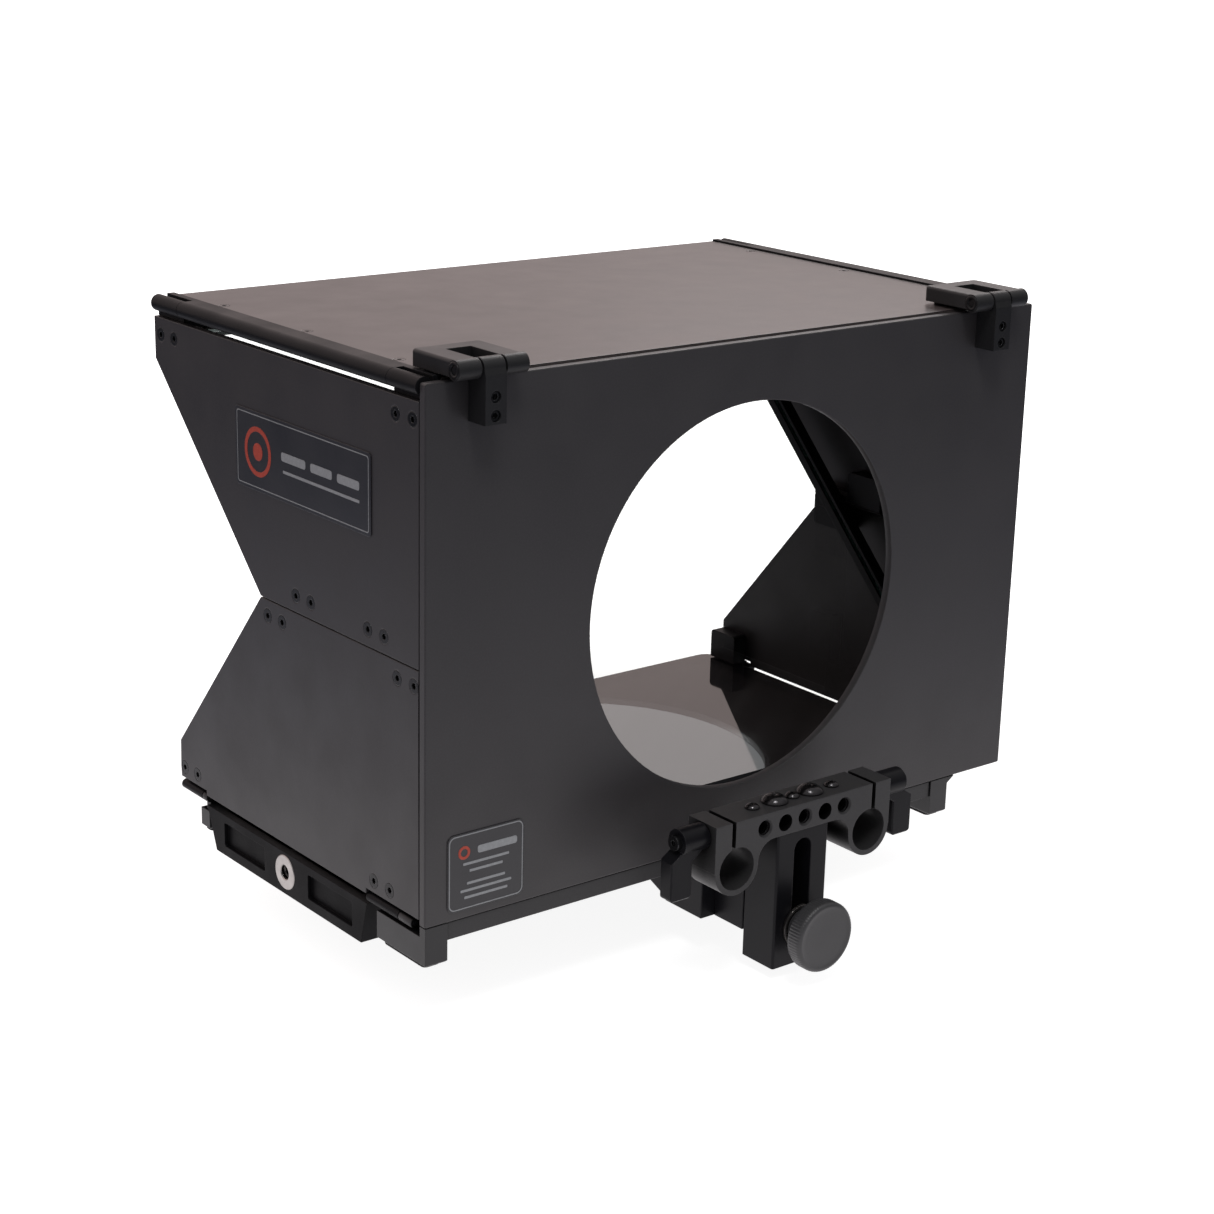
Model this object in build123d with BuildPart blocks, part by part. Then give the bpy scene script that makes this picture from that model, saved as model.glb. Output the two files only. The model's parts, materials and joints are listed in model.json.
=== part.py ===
from build123d import *
import os

# Folding beam-splitter teleprompter on a clamp for two 15 mm rods.
# Origin: centre of the lens opening on the camera panel's outer face.
# +X right seen from the camera, +Y towards the talent, +Z up. Millimetres.

# ---- Driving dimensions -------------------------------------------------
BOX_WIDTH = 263.0
PANEL_HEIGHT = 176.0
PANEL_THICKNESS = 3.0
LENS_DIAMETER = 135.0
UPPER_DEPTH = 168.0
LOWER_DEPTH = 158.0
NOTCH_DEPTH = 98.6
ROD_DIAMETER = 15.0
ROD_SPACING = 60.0
QUARTER_INCH_TAP_R = 2.55
RUN = 0.05                      # radial clearance of every running fit
GAP = 0.4                       # gap between neighbouring panels

# ---- Box frame ----------------------------------------------------------
HALF_WIDTH = BOX_WIDTH / 2
WALL_INNER = HALF_WIDTH - PANEL_THICKNESS
PANEL_BOTTOM = -PANEL_HEIGHT / 2
WALL_FRONT = PANEL_THICKNESS + GAP
SEAM_Z = -2.5
UPPER_BOTTOM = SEAM_Z + GAP / 2
LOWER_TOP = SEAM_Z - GAP / 2
UPPER_TOP = 82.0
LOWER_BOTTOM = PANEL_BOTTOM + 0.1
UPPER_SLANT_END = UPPER_BOTTOM + (UPPER_DEPTH - NOTCH_DEPTH)
LOWER_SLANT_END = -72.0

# ---- Wall hinges: three parallel pin lines on each side -----------------
PIN_X = HALF_WIDTH - 1.8
TOP_PIN_Z = 86.5
BOTTOM_PIN_Z = -89.2
MID_PIN_Z = (TOP_PIN_Z + BOTTOM_PIN_Z) / 2
MID_PIN_OFFSET = 3.6            # pin axis to the wall's inner face
MID_PIN_X = WALL_INNER - MID_PIN_OFFSET
BLOCK_THICKNESS = 6.4
MID_KNUCKLE_R = BLOCK_THICKNESS - MID_PIN_OFFSET
TOP_KNUCKLE_R = 2.9
BOTTOM_KNUCKLE_R = 1.8
MID_PIN_R = 1.2
TOP_ROD_R = 1.1
BOTTOM_PIN_R = 0.9
BLOCK_CORNER_R = 1.5
NOTCH_TOP = LOWER_BOTTOM + 1.9  # wall edge raised over the bottom knuckles

# Leaf blocks as (low y, high y) along each pin line
TOP_BLOCKS = [(3.6, 19.5), (150.0, 168.0)]
UPPER_MID_BLOCKS = [(18.4, 36.8), (61.9, 80.3)]
LOWER_MID_BLOCKS = [(3.6, 18.1), (80.6, 98.5)]
BOTTOM_BLOCKS = [(15.6, 34.1), (143.2, 158.0)]
TOP_SCREW_Z = 76.0
UPPER_MID_SCREW_Z = 3.4
LOWER_MID_SCREW_Z = -8.2
BOTTOM_SCREW_Z = -81.8
SCREW_PITCH = 9.3
WALL_SCREW_R = 1.25
WALL_SCREW_HEAD_R = 2.6

# ---- Base ---------------------------------------------------------------
BASE_HALF = 126.0
BEAM_BOTTOM = -94.4
BEAM_TOP = PANEL_BOTTOM - 0.1
BEAM_SHELF = -91.5
FRONT_BEAM_BACK = 33.6
REAR_BEAM_FRONT = 139.9
FOOT_BOTTOM = -101.5
FOOT_WIDTH = 8.6
FOOT_DEPTH = 28.0
LEFT_FOOT_X = -HALF_WIDTH + 0.2
RIGHT_FOOT_X = 95.3
FRONT_EAR = (8.0, 15.4)
REAR_EAR = (REAR_BEAM_FRONT, 143.0)

# ---- Monitor ------------------------------------------------------------
SCREEN_FRONT = 16.0
SCREEN_BACK = 163.0
SCREEN_TOP = -87.5
BEZEL_BOTTOM = BEAM_SHELF + 0.1
BEZEL_TOP = SCREEN_TOP - 0.9
HOUSING_TOP = BEZEL_BOTTOM - 0.05
HOUSING_BOTTOM = -107.4
HOUSING_LEFT = -HALF_WIDTH + 0.2
HOUSING_RIGHT = 95.0
INSERT_Y = 86.0
INSERT_Z = -98.8
INSERT_R = 6.3

# ---- Beam-splitter frame ------------------------------------------------
GLASS_PIVOT_Y = 9.8
GLASS_PIVOT_Z = -77.7
GLASS_LENGTH = 220.4
RAIL_OUTER = 121.7
RAIL_THICKNESS = 4.8
RAIL_HALF_WIDTH = 3.3
GLASS_THICKNESS = 2.0           # the glass stands on the rail's centre plane
GLASS_PIN_R = 1.6

# ---- Top latches --------------------------------------------------------
LATCH_CENTRES = {"left": -112.1, "right": 106.7}
LATCH_PIN_Y = -5.2
LATCH_PIN_Z = 92.2
YOKE_WIDTH = 25.5
YOKE_BOTTOM = 89.9
YOKE_TOP = 95.2
YOKE_BACK = 18.0
BRACKET_WIDTH = 7.8
LATCH_PIN_R = 1.5

# ---- Rod clamp and riser ------------------------------------------------
CLAMP_FRONT = -33.5
CLAMP_DEPTH = 14.0
CLAMP_MID = CLAMP_FRONT + CLAMP_DEPTH / 2
ROD_Z = -80.44
RING_R = 9.4
BRIDGE_TOP = -63.8
BRIDGE_BOTTOM = -73.3
FACE_HOLE_Z = -68.9
FACE_HOLE_PITCH = 9.0
FACE_HOLE_MOUTH_R = 3.2
BLIND_HOLE_R = 3.0
BLIND_HOLE_DEPTH = 4.9
ARCH_FILLET = 6.9
JAW_OUTER = ROD_SPACING / 2 + 9.6
SLIT = (30.9, 32.6)
LEVER_Z = -68.5
RISER_HALF = 11.5
RISER_FRONT = -33.0
RISER_BACK = -17.0
RISER_BOTTOM = -122.5
RISER_TOP = BRIDGE_BOTTOM - 0.05
SLOT_TOP = -76.7
SLOT_BOTTOM = -119.0
SLOT_WIDTH = 7.6
KNOB_Z = -108.6
KNOB_FRONT = -46.5
KNOB_R = 12.5
STUD_R = 2.95
ARM_BOTTOM = -113.5
STUD_END_Y = -8.0

os.makedirs("parts", exist_ok=True)


def save(part, name):
    """Label a finished piece and write its STEP file."""
    part.label = name
    export_step(part, f"parts/{name}.step")


def save_both(part, name):
    """Write a piece made for the right side, and its mirror image for the left."""
    save(part, f"{name}_right")
    save(mirror(part, about=Plane.YZ), f"{name}_left")


def both_sides(part):
    """A piece made for the right side together with its mirror image, as one group."""
    return Compound(children=[part, mirror(part, about=Plane.YZ)])


def screw_pair(span, z):
    """Two screw places centred on a leaf block, as (y, z)."""
    middle = (span[0] + span[1]) / 2
    return [(middle - SCREW_PITCH / 2, z), (middle + SCREW_PITCH / 2, z)]


def wall_planes(places, x=HALF_WIDTH):
    """Planes on the right wall's outer face, facing out, at (y, z) places."""
    return [Plane(origin=(x, y, z), x_dir=(0, 1, 0), z_dir=(1, 0, 0)) for y, z in places]


def front_planes(x, y, zs):
    """Planes facing the camera at (x, y), one for each height."""
    return [Plane(origin=(x, y, z), x_dir=(1, 0, 0), z_dir=(0, -1, 0)) for z in zs]


def y_cylinder(x, z, radius, low, high):
    """A solid cylinder along Y at (x, z) between two y values."""
    with BuildPart(mode=Mode.PRIVATE) as rod:
        with BuildSketch(Plane(origin=(x, low, z), x_dir=(1, 0, 0), z_dir=(0, 1, 0))):
            Circle(radius)
        extrude(amount=high - low)
    return rod.part


def x_cylinder(y, z, radius, low, high):
    """A solid cylinder along X at (y, z) between two x values."""
    with BuildPart(mode=Mode.PRIVATE) as rod:
        with BuildSketch(Plane(origin=(low, y, z), x_dir=(0, 1, 0), z_dir=(1, 0, 0))):
            Circle(radius)
        extrude(amount=high - low)
    return rod.part


def block(x, y, z):
    """A solid box between (low, high) pairs on the three axes."""
    with BuildPart(mode=Mode.PRIVATE) as solid:
        with BuildSketch(Plane.XY.offset(z[0])):
            with Locations(((x[0] + x[1]) / 2, (y[0] + y[1]) / 2)):
                Rectangle(x[1] - x[0], y[1] - y[0])
        extrude(amount=z[1] - z[0])
    return solid.part


# ---- Camera panel -------------------------------------------------------
LATCH_SCREW_ZS = (83.5, 77.7)
LATCH_SCREW_R = 1.3

with BuildPart() as camera_panel:
    with BuildSketch(Plane.XZ):
        RectangleRounded(BOX_WIDTH, PANEL_HEIGHT, 0.8)
        Circle(LENS_DIAMETER / 2, mode=Mode.SUBTRACT)
        for centre in LATCH_CENTRES.values():
            with Locations(*[(centre, z) for z in LATCH_SCREW_ZS]):
                Circle(LATCH_SCREW_R, mode=Mode.SUBTRACT)
    extrude(amount=-PANEL_THICKNESS)
    chamfer(camera_panel.faces().sort_by(Axis.Y)[0].edges().filter_by(GeomType.LINE), 0.3)
save(camera_panel.part, "camera_panel")

# ---- Side walls, made on the right and mirrored -------------------------
upper_screws = []
for span in TOP_BLOCKS:
    upper_screws += screw_pair(span, TOP_SCREW_Z)
for span in UPPER_MID_BLOCKS:
    upper_screws += screw_pair(span, UPPER_MID_SCREW_Z)
lower_screws = []
for span in LOWER_MID_BLOCKS:
    lower_screws += screw_pair(span, LOWER_MID_SCREW_Z)
for span in BOTTOM_BLOCKS:
    lower_screws += screw_pair(span, BOTTOM_SCREW_Z)

with BuildPart() as side_panel_upper:
    with BuildSketch(Plane.YZ.offset(WALL_INNER)) as outline:
        with BuildLine():
            Polyline(
                (WALL_FRONT, UPPER_BOTTOM),
                (NOTCH_DEPTH, UPPER_BOTTOM),
                (UPPER_DEPTH, UPPER_SLANT_END),
                (UPPER_DEPTH, UPPER_TOP),
                (WALL_FRONT, UPPER_TOP),
                close=True,
            )
        make_face()
    extrude(amount=PANEL_THICKNESS)
    with Locations(*wall_planes(upper_screws)):
        CounterSinkHole(WALL_SCREW_R, WALL_SCREW_HEAD_R, PANEL_THICKNESS, 90)
save_both(side_panel_upper.part, "side_panel_upper")

with BuildPart() as side_panel_lower:
    with BuildSketch(Plane.YZ.offset(WALL_INNER)) as outline:
        with BuildLine():
            Polyline(
                (WALL_FRONT, NOTCH_TOP),
                (BOTTOM_BLOCKS[0][1] + 0.2, NOTCH_TOP),
                (BOTTOM_BLOCKS[0][1] + 0.2, LOWER_BOTTOM),
                (REAR_EAR[0] - 0.2, LOWER_BOTTOM),
                (REAR_EAR[0] - 0.2, NOTCH_TOP),
                (LOWER_DEPTH, NOTCH_TOP),
                (LOWER_DEPTH, LOWER_SLANT_END),
                (NOTCH_DEPTH, LOWER_TOP),
                (WALL_FRONT, LOWER_TOP),
                close=True,
            )
        make_face()
    extrude(amount=PANEL_THICKNESS)
    with Locations(*wall_planes(lower_screws)):
        CounterSinkHole(WALL_SCREW_R, WALL_SCREW_HEAD_R, PANEL_THICKNESS, 90)
save_both(side_panel_lower.part, "side_panel_lower")

# ---- Leaf blocks: one node per group, staggered along each pin line -----
BLOCK_INNER = WALL_INNER - BLOCK_THICKNESS
TOP_BLOCK_BOTTOM = 69.0
UPPER_MID_BLOCK_TOP = 10.0
LOWER_MID_BLOCK_BOTTOM = -14.5
BOTTOM_BLOCK_TOP = -75.0
BOTTOM_BLOCK_BOTTOM = -86.9
# Necks from plate to knuckle, as (low x, high x), (low z, high z)
TOP_NECK = [((126.6, PIN_X), (UPPER_TOP + 0.1, TOP_PIN_Z)), ((125.0, 128.2), (80.0, 83.4))]
BOTTOM_NECK = [((127.0, PIN_X), (BOTTOM_PIN_Z - BOTTOM_KNUCKLE_R, BOTTOM_BLOCK_BOTTOM + 0.2))]
BLOCK_SCREW_DEPTH = 5.0
UPPER, LOWER = -1, 0            # which end of a leaf plate is free and rounded


def leaf_plate(span, z_span, free_end):
    """One plate of a hinge leaf, with the two corners of its free end rounded."""
    with BuildPart(mode=Mode.PRIVATE) as plate:
        with BuildSketch(Plane.YZ.offset(BLOCK_INNER)) as outline:
            with Locations(((span[0] + span[1]) / 2, (z_span[0] + z_span[1]) / 2)):
                Rectangle(span[1] - span[0], z_span[1] - z_span[0])
            fillet(outline.vertices().group_by(Axis.Y)[free_end], BLOCK_CORNER_R)
        extrude(amount=BLOCK_THICKNESS)
    return plate.part


def leaf_blocks(spans, z_span, free_end, knuckle, pin_r, neck, screws):
    """Leaf blocks on the right wall: plates with a knuckle about (x, z) and a neck box."""
    with BuildPart() as blocks:
        for low, high in spans:
            add(leaf_plate((low, high), z_span, free_end))
            add(y_cylinder(knuckle[0], knuckle[1], knuckle[2], low, high))
            for neck_x, neck_z in neck:
                add(block(neck_x, (low, high), neck_z))
            add(y_cylinder(knuckle[0], knuckle[1], pin_r, low - 1, high + 1), mode=Mode.SUBTRACT)
        with Locations(*wall_planes(screws, WALL_INNER)):
            Hole(WALL_SCREW_R, BLOCK_SCREW_DEPTH)
    return blocks.part


top_leaf_blocks = leaf_blocks(
    TOP_BLOCKS,
    (TOP_BLOCK_BOTTOM, UPPER_TOP),
    LOWER,
    (PIN_X, TOP_PIN_Z, TOP_KNUCKLE_R),
    TOP_ROD_R + RUN,
    TOP_NECK,
    [s for s in upper_screws if s[1] == TOP_SCREW_Z],
)
upper_mid_blocks = leaf_blocks(
    UPPER_MID_BLOCKS,
    (UPPER_BOTTOM, UPPER_MID_BLOCK_TOP),
    UPPER,
    (MID_PIN_X, MID_PIN_Z, MID_KNUCKLE_R),
    MID_PIN_R + RUN,
    [],
    [s for s in upper_screws if s[1] == UPPER_MID_SCREW_Z],
)
save_both(Compound(children=[top_leaf_blocks, upper_mid_blocks]), "hinge_blocks_upper")

lower_mid_blocks = leaf_blocks(
    LOWER_MID_BLOCKS,
    (LOWER_MID_BLOCK_BOTTOM, LOWER_TOP),
    LOWER,
    (MID_PIN_X, MID_PIN_Z, MID_KNUCKLE_R),
    MID_PIN_R,
    [],
    [s for s in lower_screws if s[1] == LOWER_MID_SCREW_Z],
)
bottom_leaf_blocks = leaf_blocks(
    BOTTOM_BLOCKS,
    (BOTTOM_BLOCK_BOTTOM, BOTTOM_BLOCK_TOP),
    UPPER,
    (PIN_X, BOTTOM_PIN_Z, BOTTOM_KNUCKLE_R),
    BOTTOM_PIN_R + RUN,
    BOTTOM_NECK,
    [s for s in lower_screws if s[1] == BOTTOM_SCREW_Z],
)
save_both(Compound(children=[lower_mid_blocks, bottom_leaf_blocks]), "hinge_blocks_lower")

# ---- Wall screws: countersunk, hex socket -------------------------------
SOCKET_R = 1.15
SOCKET_DEPTH = 1.2
SCREW_LENGTH = 7.6
SCREW_HEAD_GAP = 0.1            # screw head smaller than its countersink, on the radius


def wall_screws(places):
    """Countersunk socket screws flush with the right wall's outer face."""
    with BuildPart() as screws:
        for plane in wall_planes(places, HALF_WIDTH - SCREW_HEAD_GAP / 2):
            head_r = WALL_SCREW_HEAD_R - SCREW_HEAD_GAP
            with BuildSketch(plane):
                Circle(head_r)
            with BuildSketch(plane.offset(WALL_SCREW_R - head_r)):
                Circle(WALL_SCREW_R)
            loft()
            with BuildSketch(plane.offset(-SCREW_LENGTH)):
                Circle(WALL_SCREW_R)
            extrude(amount=SCREW_LENGTH - (head_r - WALL_SCREW_R) / 2)
            with BuildSketch(plane):
                RegularPolygon(SOCKET_R, 6)
            extrude(amount=-SOCKET_DEPTH, mode=Mode.SUBTRACT)
    return screws.part


save_both(wall_screws(upper_screws), "wall_screws_upper")
save_both(wall_screws(lower_screws), "wall_screws_lower")

# ---- Hinge pins ---------------------------------------------------------
with BuildPart() as mid_hinge_pins:
    add(y_cylinder(MID_PIN_X, MID_PIN_Z, MID_PIN_R, LOWER_MID_BLOCKS[0][0], UPPER_MID_BLOCKS[0][1]))
    add(y_cylinder(MID_PIN_X, MID_PIN_Z, MID_PIN_R, UPPER_MID_BLOCKS[1][0], LOWER_MID_BLOCKS[1][1]))
save_both(mid_hinge_pins.part, "hinge_pins_mid")

with BuildPart() as bottom_hinge_pins:
    add(y_cylinder(PIN_X, BOTTOM_PIN_Z, BOTTOM_PIN_R, FRONT_EAR[0], BOTTOM_BLOCKS[0][1]))
    add(y_cylinder(PIN_X, BOTTOM_PIN_Z, BOTTOM_PIN_R, REAR_EAR[0], BOTTOM_BLOCKS[1][1]))
save(both_sides(bottom_hinge_pins.part), "hinge_pins_bottom")

with BuildPart() as top_hinge_rod:
    add(y_cylinder(PIN_X, TOP_PIN_Z, TOP_ROD_R, TOP_BLOCKS[0][0], TOP_BLOCKS[1][1]))
save(both_sides(top_hinge_rod.part), "hinge_rods_top")

# ---- Top panel and its hinge rails --------------------------------------
RAIL_STEP_X = HALF_WIDTH - 8.0
RAIL_FLANGE_X = HALF_WIDTH - 16.0
RAIL_BOTTOM = TOP_PIN_Z - TOP_KNUCKLE_R
RAIL_TOP = TOP_PIN_Z + TOP_KNUCKLE_R
TOP_PLATE_BOTTOM = 86.1
TOP_PLATE_TOP = 88.7
RAIL_CUT_X = 126.2
TOP_SCREW_YS = (32.0, 86.0, 140.0)
TOP_SCREW_X = HALF_WIDTH - 12.0
TOP_SCREW_HOLE_R = 1.0
TOP_SCREW_HEAD_R = 2.0
TOP_SCREW_LENGTH = 4.0

with BuildPart() as top_rail:
    with BuildSketch(Plane.XZ.offset(-TOP_BLOCKS[0][0])):
        with BuildLine():
            Polyline(
                (RAIL_FLANGE_X, RAIL_BOTTOM),
                (PIN_X, RAIL_BOTTOM),
                (PIN_X, RAIL_TOP),
                (RAIL_STEP_X, RAIL_TOP),
                (RAIL_STEP_X, TOP_PLATE_BOTTOM - 0.05),
                (RAIL_FLANGE_X, TOP_PLATE_BOTTOM - 0.05),
                close=True,
            )
        make_face()
        with Locations((PIN_X, TOP_PIN_Z)):
            Circle(TOP_KNUCKLE_R)
    extrude(amount=-(UPPER_DEPTH - TOP_BLOCKS[0][0]))
    for low, high in TOP_BLOCKS:
        cut = block((RAIL_CUT_X, HALF_WIDTH + 2), (low - 0.2, high + 0.2), (RAIL_BOTTOM - 1, RAIL_TOP + 1))
        add(cut, mode=Mode.SUBTRACT)
    add(y_cylinder(PIN_X, TOP_PIN_Z, TOP_ROD_R, 0, UPPER_DEPTH + 2), mode=Mode.SUBTRACT)
    with Locations(*[(TOP_SCREW_X, y, TOP_PLATE_BOTTOM) for y in TOP_SCREW_YS]):
        Hole(TOP_SCREW_HOLE_R, 4)
save(both_sides(top_rail.part), "top_rails")

with BuildPart() as top_panel:
    with BuildSketch(Plane.XY.offset(TOP_PLATE_BOTTOM)):
        with Locations((0, (WALL_FRONT + 0.1 + UPPER_DEPTH) / 2)):
            Rectangle(2 * (RAIL_STEP_X - 0.15), UPPER_DEPTH - WALL_FRONT - 0.1)
    extrude(amount=TOP_PLATE_TOP - TOP_PLATE_BOTTOM)
    chamfer(top_panel.faces().sort_by(Axis.Z)[-1].edges(), 0.25)
    top_screw_places = [(side * TOP_SCREW_X, y, TOP_PLATE_TOP) for side in (-1, 1) for y in TOP_SCREW_YS]
    with Locations(*top_screw_places):
        CounterSinkHole(TOP_SCREW_HOLE_R, TOP_SCREW_HEAD_R, TOP_PLATE_TOP - TOP_PLATE_BOTTOM, 90)
save(top_panel.part, "top_panel")

with BuildPart() as top_panel_screws:
    for x, y, z in top_screw_places:
        plane = Plane(origin=(x, y, z - 0.05))
        with BuildSketch(plane):
            Circle(TOP_SCREW_HEAD_R - SCREW_HEAD_GAP)
        with BuildSketch(plane.offset(TOP_SCREW_HOLE_R + SCREW_HEAD_GAP - TOP_SCREW_HEAD_R)):
            Circle(TOP_SCREW_HOLE_R)
        loft()
        with BuildSketch(plane.offset(-TOP_SCREW_LENGTH)):
            Circle(TOP_SCREW_HOLE_R)
        extrude(amount=TOP_SCREW_LENGTH - 0.8)
        with BuildSketch(plane):
            RegularPolygon(0.8, 6)
        extrude(amount=-0.8, mode=Mode.SUBTRACT)
save(top_panel_screws.part, "top_panel_screws")

# ---- Base beams and feet ------------------------------------------------
BEAM_SCREW_R = 1.25
BEAM_SCREW_HEAD_R = 2.5
BEAM_SCREW_HEAD = 1.6
MONITOR_SCREW_PLACES = [(-110.0, 24.0), (80.0, 24.0), (-110.0, 148.0), (80.0, 148.0)]
PLATE_SCREW_PLACES = [(-12.0, 8.0), (12.0, 8.0), (-12.0, 26.0), (12.0, 26.0)]
EAR_SCREW_PLACES = [(-124.6, 9.8), (124.6, 9.8)]
LIP_FRONT = 0.6
RIM_BACK = 15.9                 # the front beam stands taller up to here, in front of the screen
OVERLAP = 0.1                   # pieces of one solid run this far into each other
RIGHT_WING_BOTTOM = BEAM_BOTTOM + 1.2
RIGHT_FOOT_END = RIGHT_FOOT_X + FOOT_WIDTH
LEFT_FOOT_END = LEFT_FOOT_X + FOOT_WIDTH

with BuildPart() as base_front_beam:
    rim_y = (PANEL_THICKNESS + 0.2, RIM_BACK)
    shelf_y = (RIM_BACK - OVERLAP, FRONT_BEAM_BACK)
    add(block((-BASE_HALF, RIGHT_FOOT_END), rim_y, (BEAM_BOTTOM, BEAM_TOP)))
    add(block((-BASE_HALF, RIGHT_FOOT_END), shelf_y, (BEAM_BOTTOM, BEAM_SHELF)))
    add(block((RIGHT_FOOT_X, BASE_HALF), shelf_y, (RIGHT_WING_BOTTOM, BEAM_SHELF)))
    add(block((RIGHT_FOOT_X, BASE_HALF), (7.0, RIM_BACK), (BEAM_SHELF, BEAM_TOP)))
    lip_x = (LEFT_FOOT_END + 0.1, RIGHT_FOOT_X - 0.1)
    add(block(lip_x, (LIP_FRONT, PANEL_THICKNESS + 1), (BEAM_BOTTOM, BEAM_TOP)))
    for side in (-1, 1):
        ear_x = sorted((side * (BASE_HALF - OVERLAP), side * PIN_X))
        add(block(ear_x, FRONT_EAR, (BOTTOM_PIN_Z - BOTTOM_KNUCKLE_R, BOTTOM_PIN_Z)))
        add(y_cylinder(side * PIN_X, BOTTOM_PIN_Z, BOTTOM_KNUCKLE_R, *FRONT_EAR))
        pin_hole = y_cylinder(side * PIN_X, BOTTOM_PIN_Z, BOTTOM_PIN_R, FRONT_EAR[0] - 1, FRONT_EAR[1] + 1)
        add(pin_hole, mode=Mode.SUBTRACT)
    with Locations(*[(x, y, BEAM_SHELF) for x, y in MONITOR_SCREW_PLACES[:2]]):
        Hole(BEAM_SCREW_R)
    with Locations(*[(x, y, BEAM_BOTTOM) for x, y in PLATE_SCREW_PLACES]):
        Hole(BEAM_SCREW_R)
    with Locations(*[(x, y, BEAM_TOP) for x, y in EAR_SCREW_PLACES]):
        Hole(BEAM_SCREW_R)
save(base_front_beam.part, "base_front_beam")

with BuildPart() as base_rear_beam:
    add(block((-BASE_HALF, BASE_HALF), (REAR_BEAM_FRONT, LOWER_DEPTH), (BEAM_BOTTOM, BEAM_SHELF)))
    for side in (-1, 1):
        ear_x = sorted((side * (BASE_HALF + OVERLAP), side * PIN_X))
        add(block(ear_x, REAR_EAR, (BEAM_BOTTOM, BOTTOM_PIN_Z)))
        root_x = sorted((side * (BASE_HALF - 4), side * PIN_X))
        add(block(root_x, REAR_EAR, (BEAM_BOTTOM, BEAM_SHELF)))
        add(y_cylinder(side * PIN_X, BOTTOM_PIN_Z, BOTTOM_KNUCKLE_R, *REAR_EAR))
        pin_hole = y_cylinder(side * PIN_X, BOTTOM_PIN_Z, BOTTOM_PIN_R, REAR_EAR[0] - 1, REAR_EAR[1] + 1)
        add(pin_hole, mode=Mode.SUBTRACT)
    with Locations(*[(x, y, BEAM_SHELF) for x, y in MONITOR_SCREW_PLACES[2:]]):
        Hole(BEAM_SCREW_R)
save(base_rear_beam.part, "base_rear_beam")

FOOT_TOP = BEAM_BOTTOM - 0.05
FOOT_FACE_BACK = PANEL_THICKNESS + 0.1
CHEEK_TOP = BEAM_SHELF - 0.2
REAR_FOOT_Y = (REAR_BEAM_FRONT + 0.2, 146.0)
FOOT_EDGE = 0.5

with BuildPart() as foot_front_left:
    add(block((LEFT_FOOT_X, LEFT_FOOT_END), (0, FOOT_DEPTH), (FOOT_BOTTOM, FOOT_TOP)))
    add(block((LEFT_FOOT_X, LEFT_FOOT_END), (0, FOOT_FACE_BACK), (FOOT_BOTTOM, BEAM_TOP)))
    add(block((LEFT_FOOT_X, -BASE_HALF - 0.1), (0, FOOT_DEPTH), (FOOT_BOTTOM, CHEEK_TOP)))
    chamfer(foot_front_left.faces().sort_by(Axis.Z)[0].edges(), FOOT_EDGE)

with BuildPart() as foot_front_right:
    add(block((RIGHT_FOOT_X, RIGHT_FOOT_END), (0, FOOT_DEPTH), (FOOT_BOTTOM, FOOT_TOP)))
    add(block((RIGHT_FOOT_X, RIGHT_FOOT_END), (0, FOOT_FACE_BACK), (FOOT_BOTTOM, BEAM_TOP)))
    with BuildSketch(Plane.XZ):
        with BuildLine():
            Polyline(
                (RIGHT_FOOT_END, BEAM_TOP),
                (RIGHT_FOOT_END + 3.4, BEAM_TOP),
                (RIGHT_FOOT_END, BEAM_TOP - 2.4),
                close=True,
            )
        make_face()
    extrude(amount=-FOOT_FACE_BACK)
    chamfer(foot_front_right.faces().sort_by(Axis.Z)[0].edges(), FOOT_EDGE)

with BuildPart() as feet_rear:
    add(block((LEFT_FOOT_X + 1, LEFT_FOOT_END), REAR_FOOT_Y, (FOOT_BOTTOM, FOOT_TOP)))
    add(block((RIGHT_FOOT_X, RIGHT_FOOT_END), REAR_FOOT_Y, (FOOT_BOTTOM, FOOT_TOP)))
    chamfer(feet_rear.faces().group_by(Axis.Z)[0].edges(), FOOT_EDGE)
save(Compound(children=[foot_front_left.part, foot_front_right.part, feet_rear.part]), "base_feet")

# ---- Monitor ------------------------------------------------------------
SCREEN_CORNER_R = 7.0
WINDOW_HALF = 112.0
WINDOW = (24.0, 155.0)
SCREEN_MID = (SCREEN_FRONT + SCREEN_BACK) / 2
SCREEN_DEPTH = SCREEN_BACK - SCREEN_FRONT
HOUSING_WALL = 3.0
BOARD_BOTTOM = -101.0
BOARD_THICKNESS = 1.6
BOARD = ((-60.0, 60.0), (55.0, 115.0))
BOARD_POSTS = [(x, y) for x in (-56, 56) for y in (59, 111)]
POST_R = 2.8
POST_PEG_R = 1.5
POST_BOTTOM = HOUSING_BOTTOM + 2.0
PEG_TOP = BOARD_BOTTOM + 3.0
HOUSING_CAVITY_Y = (41.0, 130.5)
HOUSING_FLOOR = 2.2
PORT_DEPTH = 2.0
PORT_Z = (-102.5, -97.0)
PORTS = ((65.0, 15.2), (87.0, 9.0), (104.0, 7.0))       # (y, width)
RECESS_YS = (113.6, 57.0)
RECESS_DEPTH = 1.6
INSERT_BOTTOM_X = HOUSING_LEFT + 6.5
CHIPS = ((-35, 75, 18, 18, 1.6), (20, 80, 26, 22, 2.4), (35, 105, 14, 8, 5.0))  # x, y, width, depth, height
LCD_GAP = 0.3

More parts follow.
